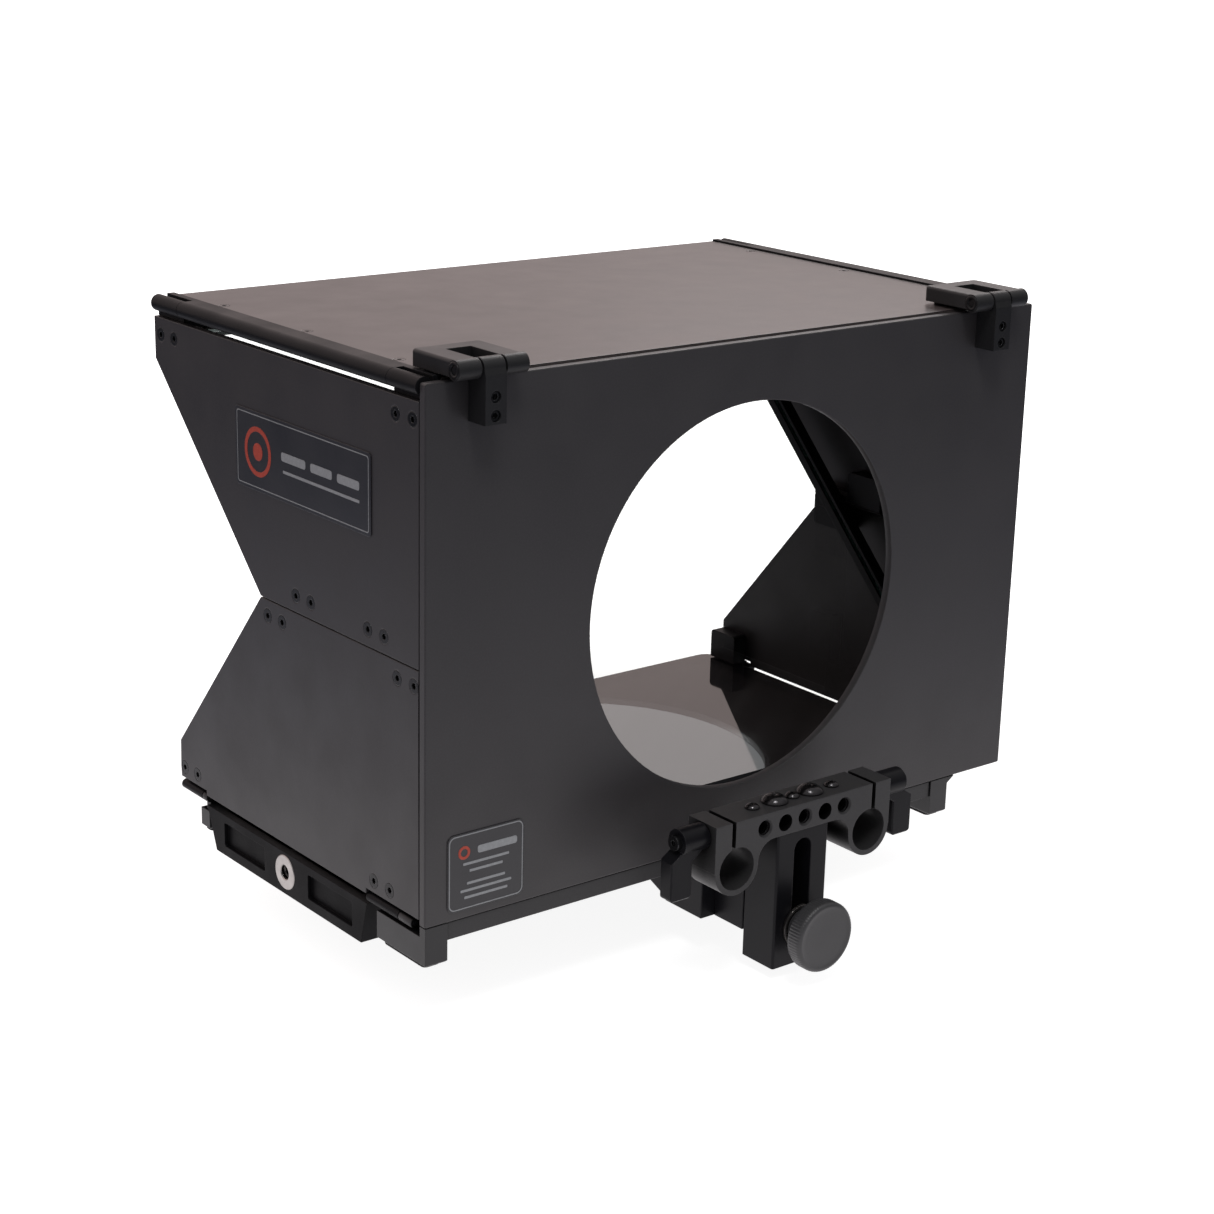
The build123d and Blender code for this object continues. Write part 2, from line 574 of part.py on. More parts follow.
with BuildPart() as monitor_bezel:
    with BuildSketch(Plane.XY.offset(BEZEL_BOTTOM)):
        with Locations((0, SCREEN_MID)):
            RectangleRounded(2 * BASE_HALF, SCREEN_DEPTH, SCREEN_CORNER_R)
        with Locations((0, (WINDOW[0] + WINDOW[1]) / 2)):
            Rectangle(2 * WINDOW_HALF, WINDOW[1] - WINDOW[0], mode=Mode.SUBTRACT)
    extrude(amount=BEZEL_TOP - BEZEL_BOTTOM)
save(monitor_bezel.part, "monitor_bezel")

with BuildPart() as monitor_cover_glass:
    with BuildSketch(Plane.XY.offset(BEZEL_TOP + 0.02)):
        with Locations((0, SCREEN_MID)):
            RectangleRounded(2 * BASE_HALF, SCREEN_DEPTH, SCREEN_CORNER_R)
    extrude(amount=SCREEN_TOP - BEZEL_TOP - 0.02)
save(monitor_cover_glass.part, "monitor_cover_glass")

with BuildPart() as monitor_lcd:
    lcd_x = (LCD_GAP - WINDOW_HALF, WINDOW_HALF - LCD_GAP)
    lcd_y = (WINDOW[0] + LCD_GAP, WINDOW[1] - LCD_GAP)
    add(block(lcd_x, lcd_y, (BEZEL_BOTTOM, BEZEL_TOP - 0.05)))
save(monitor_lcd.part, "monitor_lcd")

with BuildPart() as monitor_housing:
    with BuildSketch(Plane.YZ.offset(HOUSING_LEFT)):
        with BuildLine():
            Polyline(
                (34.0, HOUSING_TOP),
                (139.6, HOUSING_TOP),
                (133.3, HOUSING_BOTTOM),
                (38.0, HOUSING_BOTTOM),
                close=True,
            )
        make_face()
    extrude(amount=HOUSING_RIGHT - HOUSING_LEFT)
    cavity = block(
        (HOUSING_LEFT + HOUSING_WALL, HOUSING_RIGHT - HOUSING_WALL),
        HOUSING_CAVITY_Y,
        (HOUSING_BOTTOM + HOUSING_FLOOR, HOUSING_TOP + 1),
    )
    add(cavity, mode=Mode.SUBTRACT)
    chamfer(monitor_housing.faces().sort_by(Axis.Z)[0].edges(), 0.6)
    add(x_cylinder(INSERT_Y, INSERT_Z, INSERT_R + 0.9, HOUSING_LEFT + 1, HOUSING_LEFT + 8.5))
    for x, y in BOARD_POSTS:
        post = Plane(origin=(x, y, POST_BOTTOM))
        with BuildSketch(post):
            Circle(POST_R)
        extrude(amount=BOARD_BOTTOM - POST_BOTTOM)
        with BuildSketch(post):
            Circle(POST_PEG_R)
        extrude(amount=PEG_TOP - POST_BOTTOM)
    for y, width in PORTS:
        port = block((HOUSING_RIGHT - PORT_DEPTH, HOUSING_RIGHT + 1), (y - width / 2, y + width / 2), PORT_Z)
        add(port, mode=Mode.SUBTRACT)
    for plane in wall_planes([(y, INSERT_Z) for y in RECESS_YS], HOUSING_LEFT):
        with BuildSketch(plane):
            RectangleRounded(28.0, 9.0, 0.8)
        extrude(amount=RECESS_DEPTH, mode=Mode.SUBTRACT)
    add(x_cylinder(INSERT_Y, INSERT_Z, INSERT_R, HOUSING_LEFT - 1, INSERT_BOTTOM_X), mode=Mode.SUBTRACT)
save(monitor_housing.part, "monitor_housing")

with BuildPart() as monitor_insert:
    add(x_cylinder(INSERT_Y, INSERT_Z, INSERT_R, -HALF_WIDTH, INSERT_BOTTOM_X))
    tapped = x_cylinder(INSERT_Y, INSERT_Z, QUARTER_INCH_TAP_R, -HALF_WIDTH - 1, INSERT_BOTTOM_X - 1)
    add(tapped, mode=Mode.SUBTRACT)
    mouth = monitor_insert.edges().filter_by(GeomType.CIRCLE).group_by(Axis.X)[0]
    chamfer(mouth, 0.3)
save(monitor_insert.part, "monitor_insert")

with BuildPart() as monitor_board:
    board_top = BOARD_BOTTOM + BOARD_THICKNESS
    add(block(*BOARD, (BOARD_BOTTOM, board_top)))
    for x, y, width, depth, height in CHIPS:
        chip_x = (x - width / 2, x + width / 2)
        add(block(chip_x, (y - depth / 2, y + depth / 2), (board_top - 0.1, board_top + height)))
    with Locations(*[(x, y, board_top) for x, y in BOARD_POSTS]):
        Hole(POST_PEG_R + 0.1)
save(monitor_board.part, "monitor_board")

with BuildPart() as monitor_screws:
    for x, y in MONITOR_SCREW_PLACES:
        with BuildSketch(Plane(origin=(x, y, BEAM_BOTTOM - 0.02))):
            Circle(BEAM_SCREW_HEAD_R)
        extrude(amount=-BEAM_SCREW_HEAD)
        with BuildSketch(Plane(origin=(x, y, BEAM_BOTTOM - 0.1))):
            Circle(BEAM_SCREW_R)
        extrude(amount=BEZEL_BOTTOM - BEAM_BOTTOM + 0.08)

# ---- Beam-splitter and its frame, tilted 45 degrees about the pivot -----
rail_plane = Plane(
    origin=(RAIL_OUTER - RAIL_THICKNESS, GLASS_PIVOT_Y, GLASS_PIVOT_Z), x_dir=(0, 1, 1), z_dir=(1, 0, 0)
)
glass_plane = Plane(
    origin=(0, GLASS_PIVOT_Y, GLASS_PIVOT_Z), x_dir=(1, 0, 0), z_dir=(0, -1, 1)
)
GLASS_BOTTOM = 6.8              # distances along the glass, from the pivot
GLASS_TOP = 216.0
BAR_HALF = 3.2
BAR_START = -3.2
BAR_END = RAIL_OUTER - RAIL_THICKNESS - 0.05
RAIL_GROOVE = 2.5
FRAME_SCREW_AT = 218.2
FRAME_SCREW_DEPTH = 7.0
DIAGONAL = 0.5**0.5
frame_screw_y = GLASS_PIVOT_Y + FRAME_SCREW_AT * DIAGONAL
frame_screw_z = GLASS_PIVOT_Z + FRAME_SCREW_AT * DIAGONAL

with BuildPart() as glass_rail:
    with BuildSketch(rail_plane):
        Circle(RAIL_HALF_WIDTH)
        with Locations((GLASS_LENGTH / 2, 0)):
            Rectangle(GLASS_LENGTH, 2 * RAIL_HALF_WIDTH)
        Circle(GLASS_PIN_R, mode=Mode.SUBTRACT)
    extrude(amount=RAIL_THICKNESS)
    with BuildSketch(rail_plane):
        with Locations((GLASS_LENGTH / 2 + 4, GLASS_THICKNESS / 2)):
            Rectangle(GLASS_LENGTH, GLASS_THICKNESS + 2 * RUN)
    extrude(amount=RAIL_GROOVE, mode=Mode.SUBTRACT)
    with BuildSketch(rail_plane.offset(RAIL_THICKNESS)):
        with Locations((FRAME_SCREW_AT, 0)):
            Circle(BEAM_SCREW_R)
    extrude(amount=-RAIL_THICKNESS, mode=Mode.SUBTRACT)
save(both_sides(glass_rail.part), "glass_rails")

with BuildPart() as beam_splitter_glass:
    with BuildSketch(glass_plane):
        with Locations((0, (GLASS_BOTTOM + GLASS_TOP) / 2)):
            Rectangle(2 * (RAIL_OUTER - RAIL_THICKNESS + RAIL_GROOVE - 0.1), GLASS_TOP - GLASS_BOTTOM)
    extrude(amount=GLASS_THICKNESS)
save(beam_splitter_glass.part, "beam_splitter_glass")

with BuildPart() as glass_bottom_bar:
    with BuildSketch(glass_plane.offset(-BAR_HALF)):
        with Locations((0, (BAR_START + GLASS_BOTTOM - 0.1) / 2)):
            Rectangle(2 * BAR_END, GLASS_BOTTOM - 0.1 - BAR_START)
    extrude(amount=2 * BAR_HALF)
    for side in (-1, 1):
        ends = sorted((side * (BAR_END + 1), side * (BAR_END - FRAME_SCREW_DEPTH)))
        add(x_cylinder(GLASS_PIVOT_Y, GLASS_PIVOT_Z, GLASS_PIN_R, *ends), mode=Mode.SUBTRACT)
save(glass_bottom_bar.part, "glass_bottom_bar")

with BuildPart() as glass_top_bar:
    with BuildSketch(glass_plane.offset(-BAR_HALF)):
        with Locations((0, (GLASS_TOP + 0.1 + GLASS_LENGTH) / 2)):
            Rectangle(2 * BAR_END, GLASS_LENGTH - GLASS_TOP - 0.1)
    extrude(amount=2 * BAR_HALF)
    for side in (-1, 1):
        end = Plane(
            origin=(side * BAR_END, frame_screw_y, frame_screw_z), x_dir=(0, 1, 0), z_dir=(side, 0, 0)
        )
        with BuildSketch(end):
            Circle(BEAM_SCREW_R)
        extrude(amount=-FRAME_SCREW_DEPTH - 1, mode=Mode.SUBTRACT)
save(glass_top_bar.part, "glass_top_bar")

with BuildPart() as glass_frame_screws:
    for side in (-1, 1):
        tip = Plane(
            origin=(side * (BAR_END - FRAME_SCREW_DEPTH), frame_screw_y, frame_screw_z),
            x_dir=(0, 1, 0), z_dir=(side, 0, 0),
        )
        with BuildSketch(tip):
            Circle(BEAM_SCREW_R)
        extrude(amount=FRAME_SCREW_DEPTH + RAIL_THICKNESS)
save(glass_frame_screws.part, "glass_frame_screws")

EAR_INNER = RAIL_OUTER + 0.25
EAR_OUTER = 127.4
EAR_R = 5.7
EAR_SCREW_DEPTH = 6.5

with BuildPart() as glass_ear:
    with BuildSketch(Plane.YZ.offset(EAR_INNER)):
        with Locations((GLASS_PIVOT_Y, (BEAM_TOP + GLASS_PIVOT_Z) / 2)):
            Rectangle(2 * EAR_R, GLASS_PIVOT_Z - BEAM_TOP)
        with Locations((GLASS_PIVOT_Y, GLASS_PIVOT_Z)):
            Circle(EAR_R)
            Circle(GLASS_PIN_R + RUN, mode=Mode.SUBTRACT)
    extrude(amount=EAR_OUTER - EAR_INNER)
    with BuildSketch(Plane.XY.offset(BEAM_TOP)):
        with Locations(EAR_SCREW_PLACES[1]):
            Circle(BEAM_SCREW_R)
    extrude(amount=EAR_SCREW_DEPTH, mode=Mode.SUBTRACT)
save(both_sides(glass_ear.part), "glass_ears")

with BuildPart() as ear_screws:
    for x, y in EAR_SCREW_PLACES:
        with BuildSketch(Plane(origin=(x, y, BEAM_BOTTOM + 3.0))):
            Circle(BEAM_SCREW_R)
        extrude(amount=BEAM_TOP - BEAM_BOTTOM + 3.0)

with BuildPart() as glass_pivot_pins:
    for side in (-1, 1):
        ends = sorted((side * (BAR_END - FRAME_SCREW_DEPTH + 0.1), side * (EAR_OUTER - 0.1)))
        add(x_cylinder(GLASS_PIVOT_Y, GLASS_PIVOT_Z, GLASS_PIN_R, *ends))
save(glass_pivot_pins.part, "glass_pivot_pins")

# ---- Top latches --------------------------------------------------------
BRACKET_BOTTOM = 75.0
BRACKET_FRONT = -9.0
YOKE_WINDOW_HALF = 4.65
YOKE_WINDOW_BACK = 11.0
LOBE_R = 3.2
LATCH_HEAD_R = 1.85
LATCH_HEAD_DEPTH = 2.6
LATCH_HEAD_FRONT = BRACKET_FRONT + 0.6
LATCH_PIN_HALF = 12.6

brackets = []
for side, centre in LATCH_CENTRES.items():
    low = centre - BRACKET_WIDTH / 2
    with BuildPart() as latch_bracket:
        with BuildSketch(Plane.YZ.offset(low)):
            with BuildLine():
                Polyline(
                    (BRACKET_FRONT, BRACKET_BOTTOM),
                    (-0.02, BRACKET_BOTTOM),
                    (-0.02, LATCH_PIN_Z - 2),
                    (LATCH_PIN_Y + LOBE_R, LATCH_PIN_Z),
                    (LATCH_PIN_Y - LOBE_R, LATCH_PIN_Z),
                    (BRACKET_FRONT, LATCH_PIN_Z - 2),
                    close=True,
                )
            make_face()
            with Locations((LATCH_PIN_Y, LATCH_PIN_Z)):
                Circle(LOBE_R)
                Circle(LATCH_PIN_R + RUN, mode=Mode.SUBTRACT)
        extrude(amount=BRACKET_WIDTH)
        with Locations(*front_planes(centre, BRACKET_FRONT, LATCH_SCREW_ZS)):
            CounterBoreHole(LATCH_SCREW_R, LATCH_HEAD_R + 0.05, LATCH_HEAD_DEPTH, -BRACKET_FRONT)
    brackets.append(latch_bracket.part)

    with BuildPart() as latch_yoke:
        with BuildSketch(Plane.XY.offset(YOKE_BOTTOM)) as plan:
            with Locations((centre, (LATCH_PIN_Y + YOKE_BACK) / 2)):
                Rectangle(YOKE_WIDTH, YOKE_BACK - LATCH_PIN_Y)
            fillet(plan.vertices().group_by(Axis.Y)[-1], 2.0)
        extrude(amount=YOKE_TOP - YOKE_BOTTOM)
        back_top = latch_yoke.faces().sort_by(Axis.Z)[-1].edges()
        fillet(back_top, 1.0)
        for edge in (-1, 1):
            lobe_x = sorted((centre + edge * YOKE_WINDOW_HALF, centre + edge * YOKE_WIDTH / 2))
            add(x_cylinder(LATCH_PIN_Y, LATCH_PIN_Z, LOBE_R, *lobe_x))
        add(
            block(
                (centre - YOKE_WINDOW_HALF, centre + YOKE_WINDOW_HALF),
                (LATCH_PIN_Y - 6, YOKE_WINDOW_BACK),
                (YOKE_BOTTOM - 4, YOKE_TOP + 2),
            ),
            mode=Mode.SUBTRACT,
        )
        add(
            x_cylinder(LATCH_PIN_Y, LATCH_PIN_Z, LATCH_PIN_R, centre - 20, centre + 20),
            mode=Mode.SUBTRACT,
        )
    save(latch_yoke.part, f"latch_yoke_{side}")

    with BuildPart() as latch_pin:
        ends = (centre - LATCH_PIN_HALF, centre + LATCH_PIN_HALF)
        add(x_cylinder(LATCH_PIN_Y, LATCH_PIN_Z, LATCH_PIN_R, *ends))
        chamfer(latch_pin.edges().filter_by(GeomType.CIRCLE), 0.25)
    save(latch_pin.part, f"latch_pin_{side}")

save(Compound(children=brackets), "latch_brackets")

with BuildPart() as latch_screws:
    for centre in LATCH_CENTRES.values():
        for z in LATCH_SCREW_ZS:
            add(y_cylinder(centre, z, LATCH_HEAD_R, LATCH_HEAD_FRONT, BRACKET_FRONT + LATCH_HEAD_DEPTH))
            add(y_cylinder(centre, z, LATCH_SCREW_R, LATCH_HEAD_FRONT + 1, PANEL_THICKNESS - 0.2))
            with BuildSketch(front_planes(centre, LATCH_HEAD_FRONT, [z])[0]):
                RegularPolygon(SOCKET_R, 6)
            extrude(amount=-SOCKET_DEPTH, mode=Mode.SUBTRACT)
save(latch_screws.part, "latch_screws")

# ---- Mounting block and arm under the base ------------------------------
PLATE_HALF = 17.5
PLATE_FRONT = -2.0
PLATE_BACK = 33.0
PLATE_STEP_Y = 17.5
PLATE_BACK_BOTTOM = -106.0
SCREW_WELL_R = 2.6
SCREW_WELL_DEPTH = 12.0
SCREW_WELL_HEAD = 2.5

with BuildPart() as mount_block:
    with BuildSketch(Plane.YZ.offset(-PLATE_HALF)):
        with BuildLine():
            Polyline(
                (PLATE_FRONT, ARM_BOTTOM),
                (PLATE_STEP_Y, ARM_BOTTOM),
                (PLATE_STEP_Y, ARM_BOTTOM + 1.2),
                (PLATE_BACK, PLATE_BACK_BOTTOM),
                (PLATE_BACK, FOOT_TOP),
                (PLATE_FRONT, FOOT_TOP),
                close=True,
            )
        make_face()
    extrude(amount=2 * PLATE_HALF)
    with Locations(*[Plane(origin=(x, y, ARM_BOTTOM), z_dir=(0, 0, -1)) for x, y in PLATE_SCREW_PLACES]):
        CounterBoreHole(BEAM_SCREW_R, SCREW_WELL_R, SCREW_WELL_DEPTH, FOOT_TOP - ARM_BOTTOM)
save(mount_block.part, "mount_block")

with BuildPart() as mount_block_screws:
    for x, y in PLATE_SCREW_PLACES:
        with BuildSketch(Plane(origin=(x, y, ARM_BOTTOM + SCREW_WELL_DEPTH))):
            Circle(SCREW_WELL_R - 0.2)
            RegularPolygon(SOCKET_R, 6, mode=Mode.SUBTRACT)
        extrude(amount=-SCREW_WELL_HEAD)
        with BuildSketch(Plane(origin=(x, y, ARM_BOTTOM + SCREW_WELL_DEPTH - 0.5))):
            Circle(BEAM_SCREW_R)
        extrude(amount=BEAM_SHELF - 0.3 - ARM_BOTTOM - SCREW_WELL_DEPTH + 0.5)
base_screws = Compound(children=[monitor_screws.part, ear_screws.part, mount_block_screws.part])
save(base_screws, "base_screws")

ARM_BACK = PLATE_FRONT - 0.05
ARM_FRONT = RISER_BACK + 0.15
TONGUE_TOP = -102.5
TONGUE_DEPTH = 5.2
ARM_TOP = -95.0

with BuildPart() as mount_arm:
    add(block((-RISER_HALF, RISER_HALF), (ARM_FRONT, ARM_BACK), (ARM_BOTTOM, ARM_TOP)))
    with BuildSketch(Plane.XZ.offset(-ARM_FRONT)):
        with Locations((0, (ARM_BOTTOM + TONGUE_TOP) / 2)):
            SlotOverall(TONGUE_TOP - ARM_BOTTOM, SLOT_WIDTH - 0.2, rotation=90)
    extrude(amount=TONGUE_DEPTH)
    add(y_cylinder(0, KNOB_Z, STUD_R + RUN, ARM_FRONT - 6, STUD_END_Y + 0.1), mode=Mode.SUBTRACT)
save(mount_arm.part, "mount_arm")

# ---- Riser with its slot ------------------------------------------------
BRIDGE_SCREW_X = 8.0
BRIDGE_SCREW_R = 1.9

with BuildPart() as riser_block:
    add(block((-RISER_HALF, RISER_HALF), (RISER_FRONT, RISER_BACK), (RISER_BOTTOM, RISER_TOP)))
    chamfer(riser_block.edges().filter_by(Axis.Z), 0.6)
    with BuildSketch(Plane.XZ.offset(-RISER_BACK + 1)):
        with Locations((0, (SLOT_TOP + SLOT_BOTTOM) / 2)):
            SlotOverall(SLOT_TOP - SLOT_BOTTOM, SLOT_WIDTH, rotation=90)
    extrude(amount=RISER_BACK - RISER_FRONT + 2, both=True, mode=Mode.SUBTRACT)
    with Locations(*[(x, CLAMP_MID, RISER_TOP) for x in (-BRIDGE_SCREW_X, BRIDGE_SCREW_X)]):
        Hole(BRIDGE_SCREW_R, 12)
save(riser_block.part, "riser_block")

# ---- Rod clamp ----------------------------------------------------------
LEVER_STUD_R = 1.95
STUD_TIP_X = 24.0

with BuildPart() as rod_clamp_body:
    with BuildSketch(Plane.XZ.offset(-CLAMP_FRONT - CLAMP_DEPTH)) as profile:
        with Locations((0, (BRIDGE_TOP + BRIDGE_BOTTOM) / 2)):
            Rectangle(2 * JAW_OUTER, BRIDGE_TOP - BRIDGE_BOTTOM)
        for side in (-1, 1):
            with Locations((side * (ROD_SPACING / 2 + JAW_OUTER - RING_R) / 2, (BRIDGE_TOP + ROD_Z) / 2)):
                Rectangle(JAW_OUTER - ROD_SPACING / 2 + RING_R, BRIDGE_TOP - ROD_Z)
        inner_corners = profile.vertices().filter_by(
            lambda v: abs(v.Y - BRIDGE_BOTTOM) < 0.01 and abs(v.X) < JAW_OUTER - 1
        )
        fillet(inner_corners, ARCH_FILLET)
        with Locations((-ROD_SPACING / 2, ROD_Z), (ROD_SPACING / 2, ROD_Z)):
            Circle(RING_R)
        with Locations((-ROD_SPACING / 2, ROD_Z), (ROD_SPACING / 2, ROD_Z)):
            Circle(ROD_DIAMETER / 2, mode=Mode.SUBTRACT)
        for side in (-1, 1):
            with Locations((side * (SLIT[0] + SLIT[1]) / 2, (BRIDGE_TOP + ROD_Z) / 2)):
                Rectangle(SLIT[1] - SLIT[0], BRIDGE_TOP - ROD_Z + 0.2, mode=Mode.SUBTRACT)
    extrude(amount=CLAMP_DEPTH)
    face = [
        Plane(origin=(n * FACE_HOLE_PITCH, CLAMP_FRONT, FACE_HOLE_Z), x_dir=(1, 0, 0), z_dir=(0, -1, 0))
        for n in (-2, -1, 0, 1, 2)
    ]
    with Locations(face[0], face[2], face[4]):
        CounterSinkHole(QUARTER_INCH_TAP_R, FACE_HOLE_MOUTH_R, CLAMP_DEPTH, 90)
    with Locations(face[1], face[3]):
        Hole(BLIND_HOLE_R, BLIND_HOLE_DEPTH)
    top = Plane(origin=(0, CLAMP_MID, BRIDGE_TOP))
    with Locations(top):
        with Locations((-BRIDGE_SCREW_X, 0), (BRIDGE_SCREW_X, 0)):
            Hole(BRIDGE_SCREW_R)
        with Locations((-2 * FACE_HOLE_PITCH, 0), (0, 0), (2 * FACE_HOLE_PITCH, 0)):
            Hole(1.4, 1.85)
    for side in (-1, 1):
        ends = sorted((side * (STUD_TIP_X - 0.3), side * (JAW_OUTER + 1)))
        add(x_cylinder(CLAMP_MID, LEVER_Z, LEVER_STUD_R + RUN, *ends), mode=Mode.SUBTRACT)
save(rod_clamp_body.part, "rod_clamp_body")


def dome_screws(places, head_r, head_height, shank_r, shank_length, socket_r):
    """Button-head socket screws standing on the clamp's top face."""
    with BuildPart() as screws:
        for x in places:
            seat = Plane(origin=(x, CLAMP_MID, BRIDGE_TOP + 0.02), x_dir=(1, 0, 0), z_dir=(0, -1, 0))
            with BuildSketch(seat):
                with BuildLine():
                    Line((0, 0), (head_r, 0))
                    Line((head_r, 0), (head_r, 0.4))
                    ThreePointArc((head_r, 0.4), (head_r * 0.72, head_height * 0.8), (0, head_height))
                    Line((0, head_height), (0, 0))
                make_face()
            revolve(axis=Axis((x, CLAMP_MID, 0), (0, 0, 1)))
            with BuildSketch(Plane(origin=(x, CLAMP_MID, BRIDGE_TOP + head_height + 0.1))):
                RegularPolygon(socket_r, 6)
            extrude(amount=-head_height * 0.6, mode=Mode.SUBTRACT)
            with BuildSketch(Plane(origin=(x, CLAMP_MID, BRIDGE_TOP + 0.1))):
                Circle(shank_r)
            extrude(amount=-shank_length)
    return screws.part


bridge_screws = dome_screws((-BRIDGE_SCREW_X, BRIDGE_SCREW_X), 4.6, 2.4, BRIDGE_SCREW_R, 20.0, 1.6)
plug_places = (-2 * FACE_HOLE_PITCH, 0.0, 2 * FACE_HOLE_PITCH)
plug_screws = dome_screws(plug_places, 2.5, 1.5, 1.35, 1.8, 0.8)
save(Compound(children=[bridge_screws, plug_screws]), "clamp_top_screws")

# ---- Clamp levers: a hub with a paddle hanging outside it ----------------
HUB_R = 4.5
HUB_START = JAW_OUTER + 0.2
HUB_END = 50.2
PADDLE = (45.8, 54.8)
PADDLE_BOTTOM = -88.2
PADDLE_HALF_THICKNESS = 3.0
STUD_END_X = 45.0
CAP_SCREW_R = 1.1
CAP_HEAD_R = 2.6

with BuildPart() as clamp_lever:
    with BuildSketch(Plane.XZ.offset(-CLAMP_MID - PADDLE_HALF_THICKNESS)) as outline:
        with BuildLine():
            Polyline(
                (HUB_START + 0.6, LEVER_Z),
                (HUB_START + 0.6, LEVER_Z - 2.5),
                (PADDLE[0], LEVER_Z - 6.5),
                (PADDLE[0], PADDLE_BOTTOM),
                (PADDLE[1], PADDLE_BOTTOM),
                (PADDLE[1], LEVER_Z - 6.0),
                (HUB_END, LEVER_Z - 3.0),
                (HUB_END, LEVER_Z),
                close=True,
            )
        make_face()
        fillet(outline.vertices().group_by(Axis.Y)[0], 1.5)
    extrude(amount=2 * PADDLE_HALF_THICKNESS)
    add(x_cylinder(CLAMP_MID, LEVER_Z, HUB_R, HUB_START, HUB_END))
    chamfer(clamp_lever.edges().filter_by(GeomType.CIRCLE).group_by(Axis.X)[-1], 0.5)
    add(x_cylinder(CLAMP_MID, LEVER_Z, LEVER_STUD_R, HUB_START - 1, STUD_END_X), mode=Mode.SUBTRACT)
    add(x_cylinder(CLAMP_MID, LEVER_Z, CAP_SCREW_R, STUD_END_X - 1, HUB_END + 1), mode=Mode.SUBTRACT)
save_both(clamp_lever.part, "clamp_lever")

with BuildPart() as lever_stud:
    add(x_cylinder(CLAMP_MID, LEVER_Z, LEVER_STUD_R, STUD_TIP_X, STUD_END_X))
save_both(lever_stud.part, "lever_stud")

with BuildPart() as lever_cap_screw:
    add(x_cylinder(CLAMP_MID, LEVER_Z, CAP_SCREW_R, STUD_END_X + 0.05, HUB_END + 0.1))
    add(x_cylinder(CLAMP_MID, LEVER_Z, CAP_HEAD_R, HUB_END + 0.02, HUB_END + 1.8))
    with BuildSketch(wall_planes([(CLAMP_MID, LEVER_Z)], HUB_END + 1.8)[0]):
        RegularPolygon(SOCKET_R, 6)
    extrude(amount=-1.0, mode=Mode.SUBTRACT)
save_both(lever_cap_screw.part, "lever_cap_screw")

# ---- Thumb knob ---------------------------------------------------------
KNOB_BACK = -40.0
HUB_BACK = -34.2
KNOB_HUB_R = 6.5
WASHER_R = 7.6

with BuildPart() as thumb_knob:
    with BuildSketch(Plane.XZ.offset(-KNOB_BACK).shift_origin((0, KNOB_BACK, KNOB_Z))):
        Circle(KNOB_R)
    extrude(amount=KNOB_BACK - KNOB_FRONT)
    rims = thumb_knob.edges().filter_by(GeomType.CIRCLE).sort_by(Axis.Y)
    chamfer(rims[0], 0.9)
    chamfer(rims[-1], 1.2)
    add(y_cylinder(0, KNOB_Z, KNOB_HUB_R, KNOB_BACK, HUB_BACK))
    add(y_cylinder(0, KNOB_Z, STUD_R, KNOB_BACK - 3, HUB_BACK + 1), mode=Mode.SUBTRACT)
save(thumb_knob.part, "thumb_knob")

with BuildPart() as knob_washer:
    with BuildSketch(Plane(origin=(0, HUB_BACK + 0.02, KNOB_Z), x_dir=(1, 0, 0), z_dir=(0, 1, 0))):
        Circle(WASHER_R)
        Circle(STUD_R, mode=Mode.SUBTRACT)
    extrude(amount=RISER_FRONT - HUB_BACK - 0.1)
save(knob_washer.part, "knob_washer")

with BuildPart() as knob_stud:
    add(y_cylinder(0, KNOB_Z, STUD_R, KNOB_BACK - 3, STUD_END_Y))
save(knob_stud.part, "knob_stud")

# ---- Label plates -------------------------------------------------------
with BuildPart() as side_label:
    with BuildSketch(Plane(origin=(-HALF_WIDTH - 0.02, 71.0, 47.5), x_dir=(0, 1, 0), z_dir=(-1, 0, 0))):
        RectangleRounded(83.0, 27.0, 1.5)
    extrude(amount=0.3)
save(side_label.part, "side_label")

with BuildPart() as panel_label:
    with BuildSketch(Plane(origin=(-108.0, -0.02, -71.8), x_dir=(1, 0, 0), z_dir=(0, -1, 0))):
        RectangleRounded(30.0, 26.5, 2.5)
    extrude(amount=0.3)
save(panel_label.part, "panel_label")
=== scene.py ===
"""Looks of the folding teleprompter: finishes, fine detail, floor, light and camera."""

import json
import math

import bpy
from mathutils import Matrix, Vector


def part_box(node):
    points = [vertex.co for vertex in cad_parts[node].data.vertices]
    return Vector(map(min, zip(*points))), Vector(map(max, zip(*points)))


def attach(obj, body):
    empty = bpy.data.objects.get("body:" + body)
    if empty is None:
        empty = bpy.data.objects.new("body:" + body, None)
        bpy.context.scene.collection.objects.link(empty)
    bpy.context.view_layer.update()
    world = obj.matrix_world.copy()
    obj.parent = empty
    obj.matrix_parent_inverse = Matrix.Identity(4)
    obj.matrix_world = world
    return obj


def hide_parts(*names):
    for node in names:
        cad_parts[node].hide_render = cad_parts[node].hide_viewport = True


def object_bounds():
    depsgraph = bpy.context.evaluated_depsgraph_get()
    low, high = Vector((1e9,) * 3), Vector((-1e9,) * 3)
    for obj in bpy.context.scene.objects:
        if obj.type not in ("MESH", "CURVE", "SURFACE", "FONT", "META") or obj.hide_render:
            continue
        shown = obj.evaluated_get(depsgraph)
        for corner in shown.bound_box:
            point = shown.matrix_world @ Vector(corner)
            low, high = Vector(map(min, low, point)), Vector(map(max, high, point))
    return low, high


MM = 0.001
BLACK = (0.0, 0.0, 0.0)

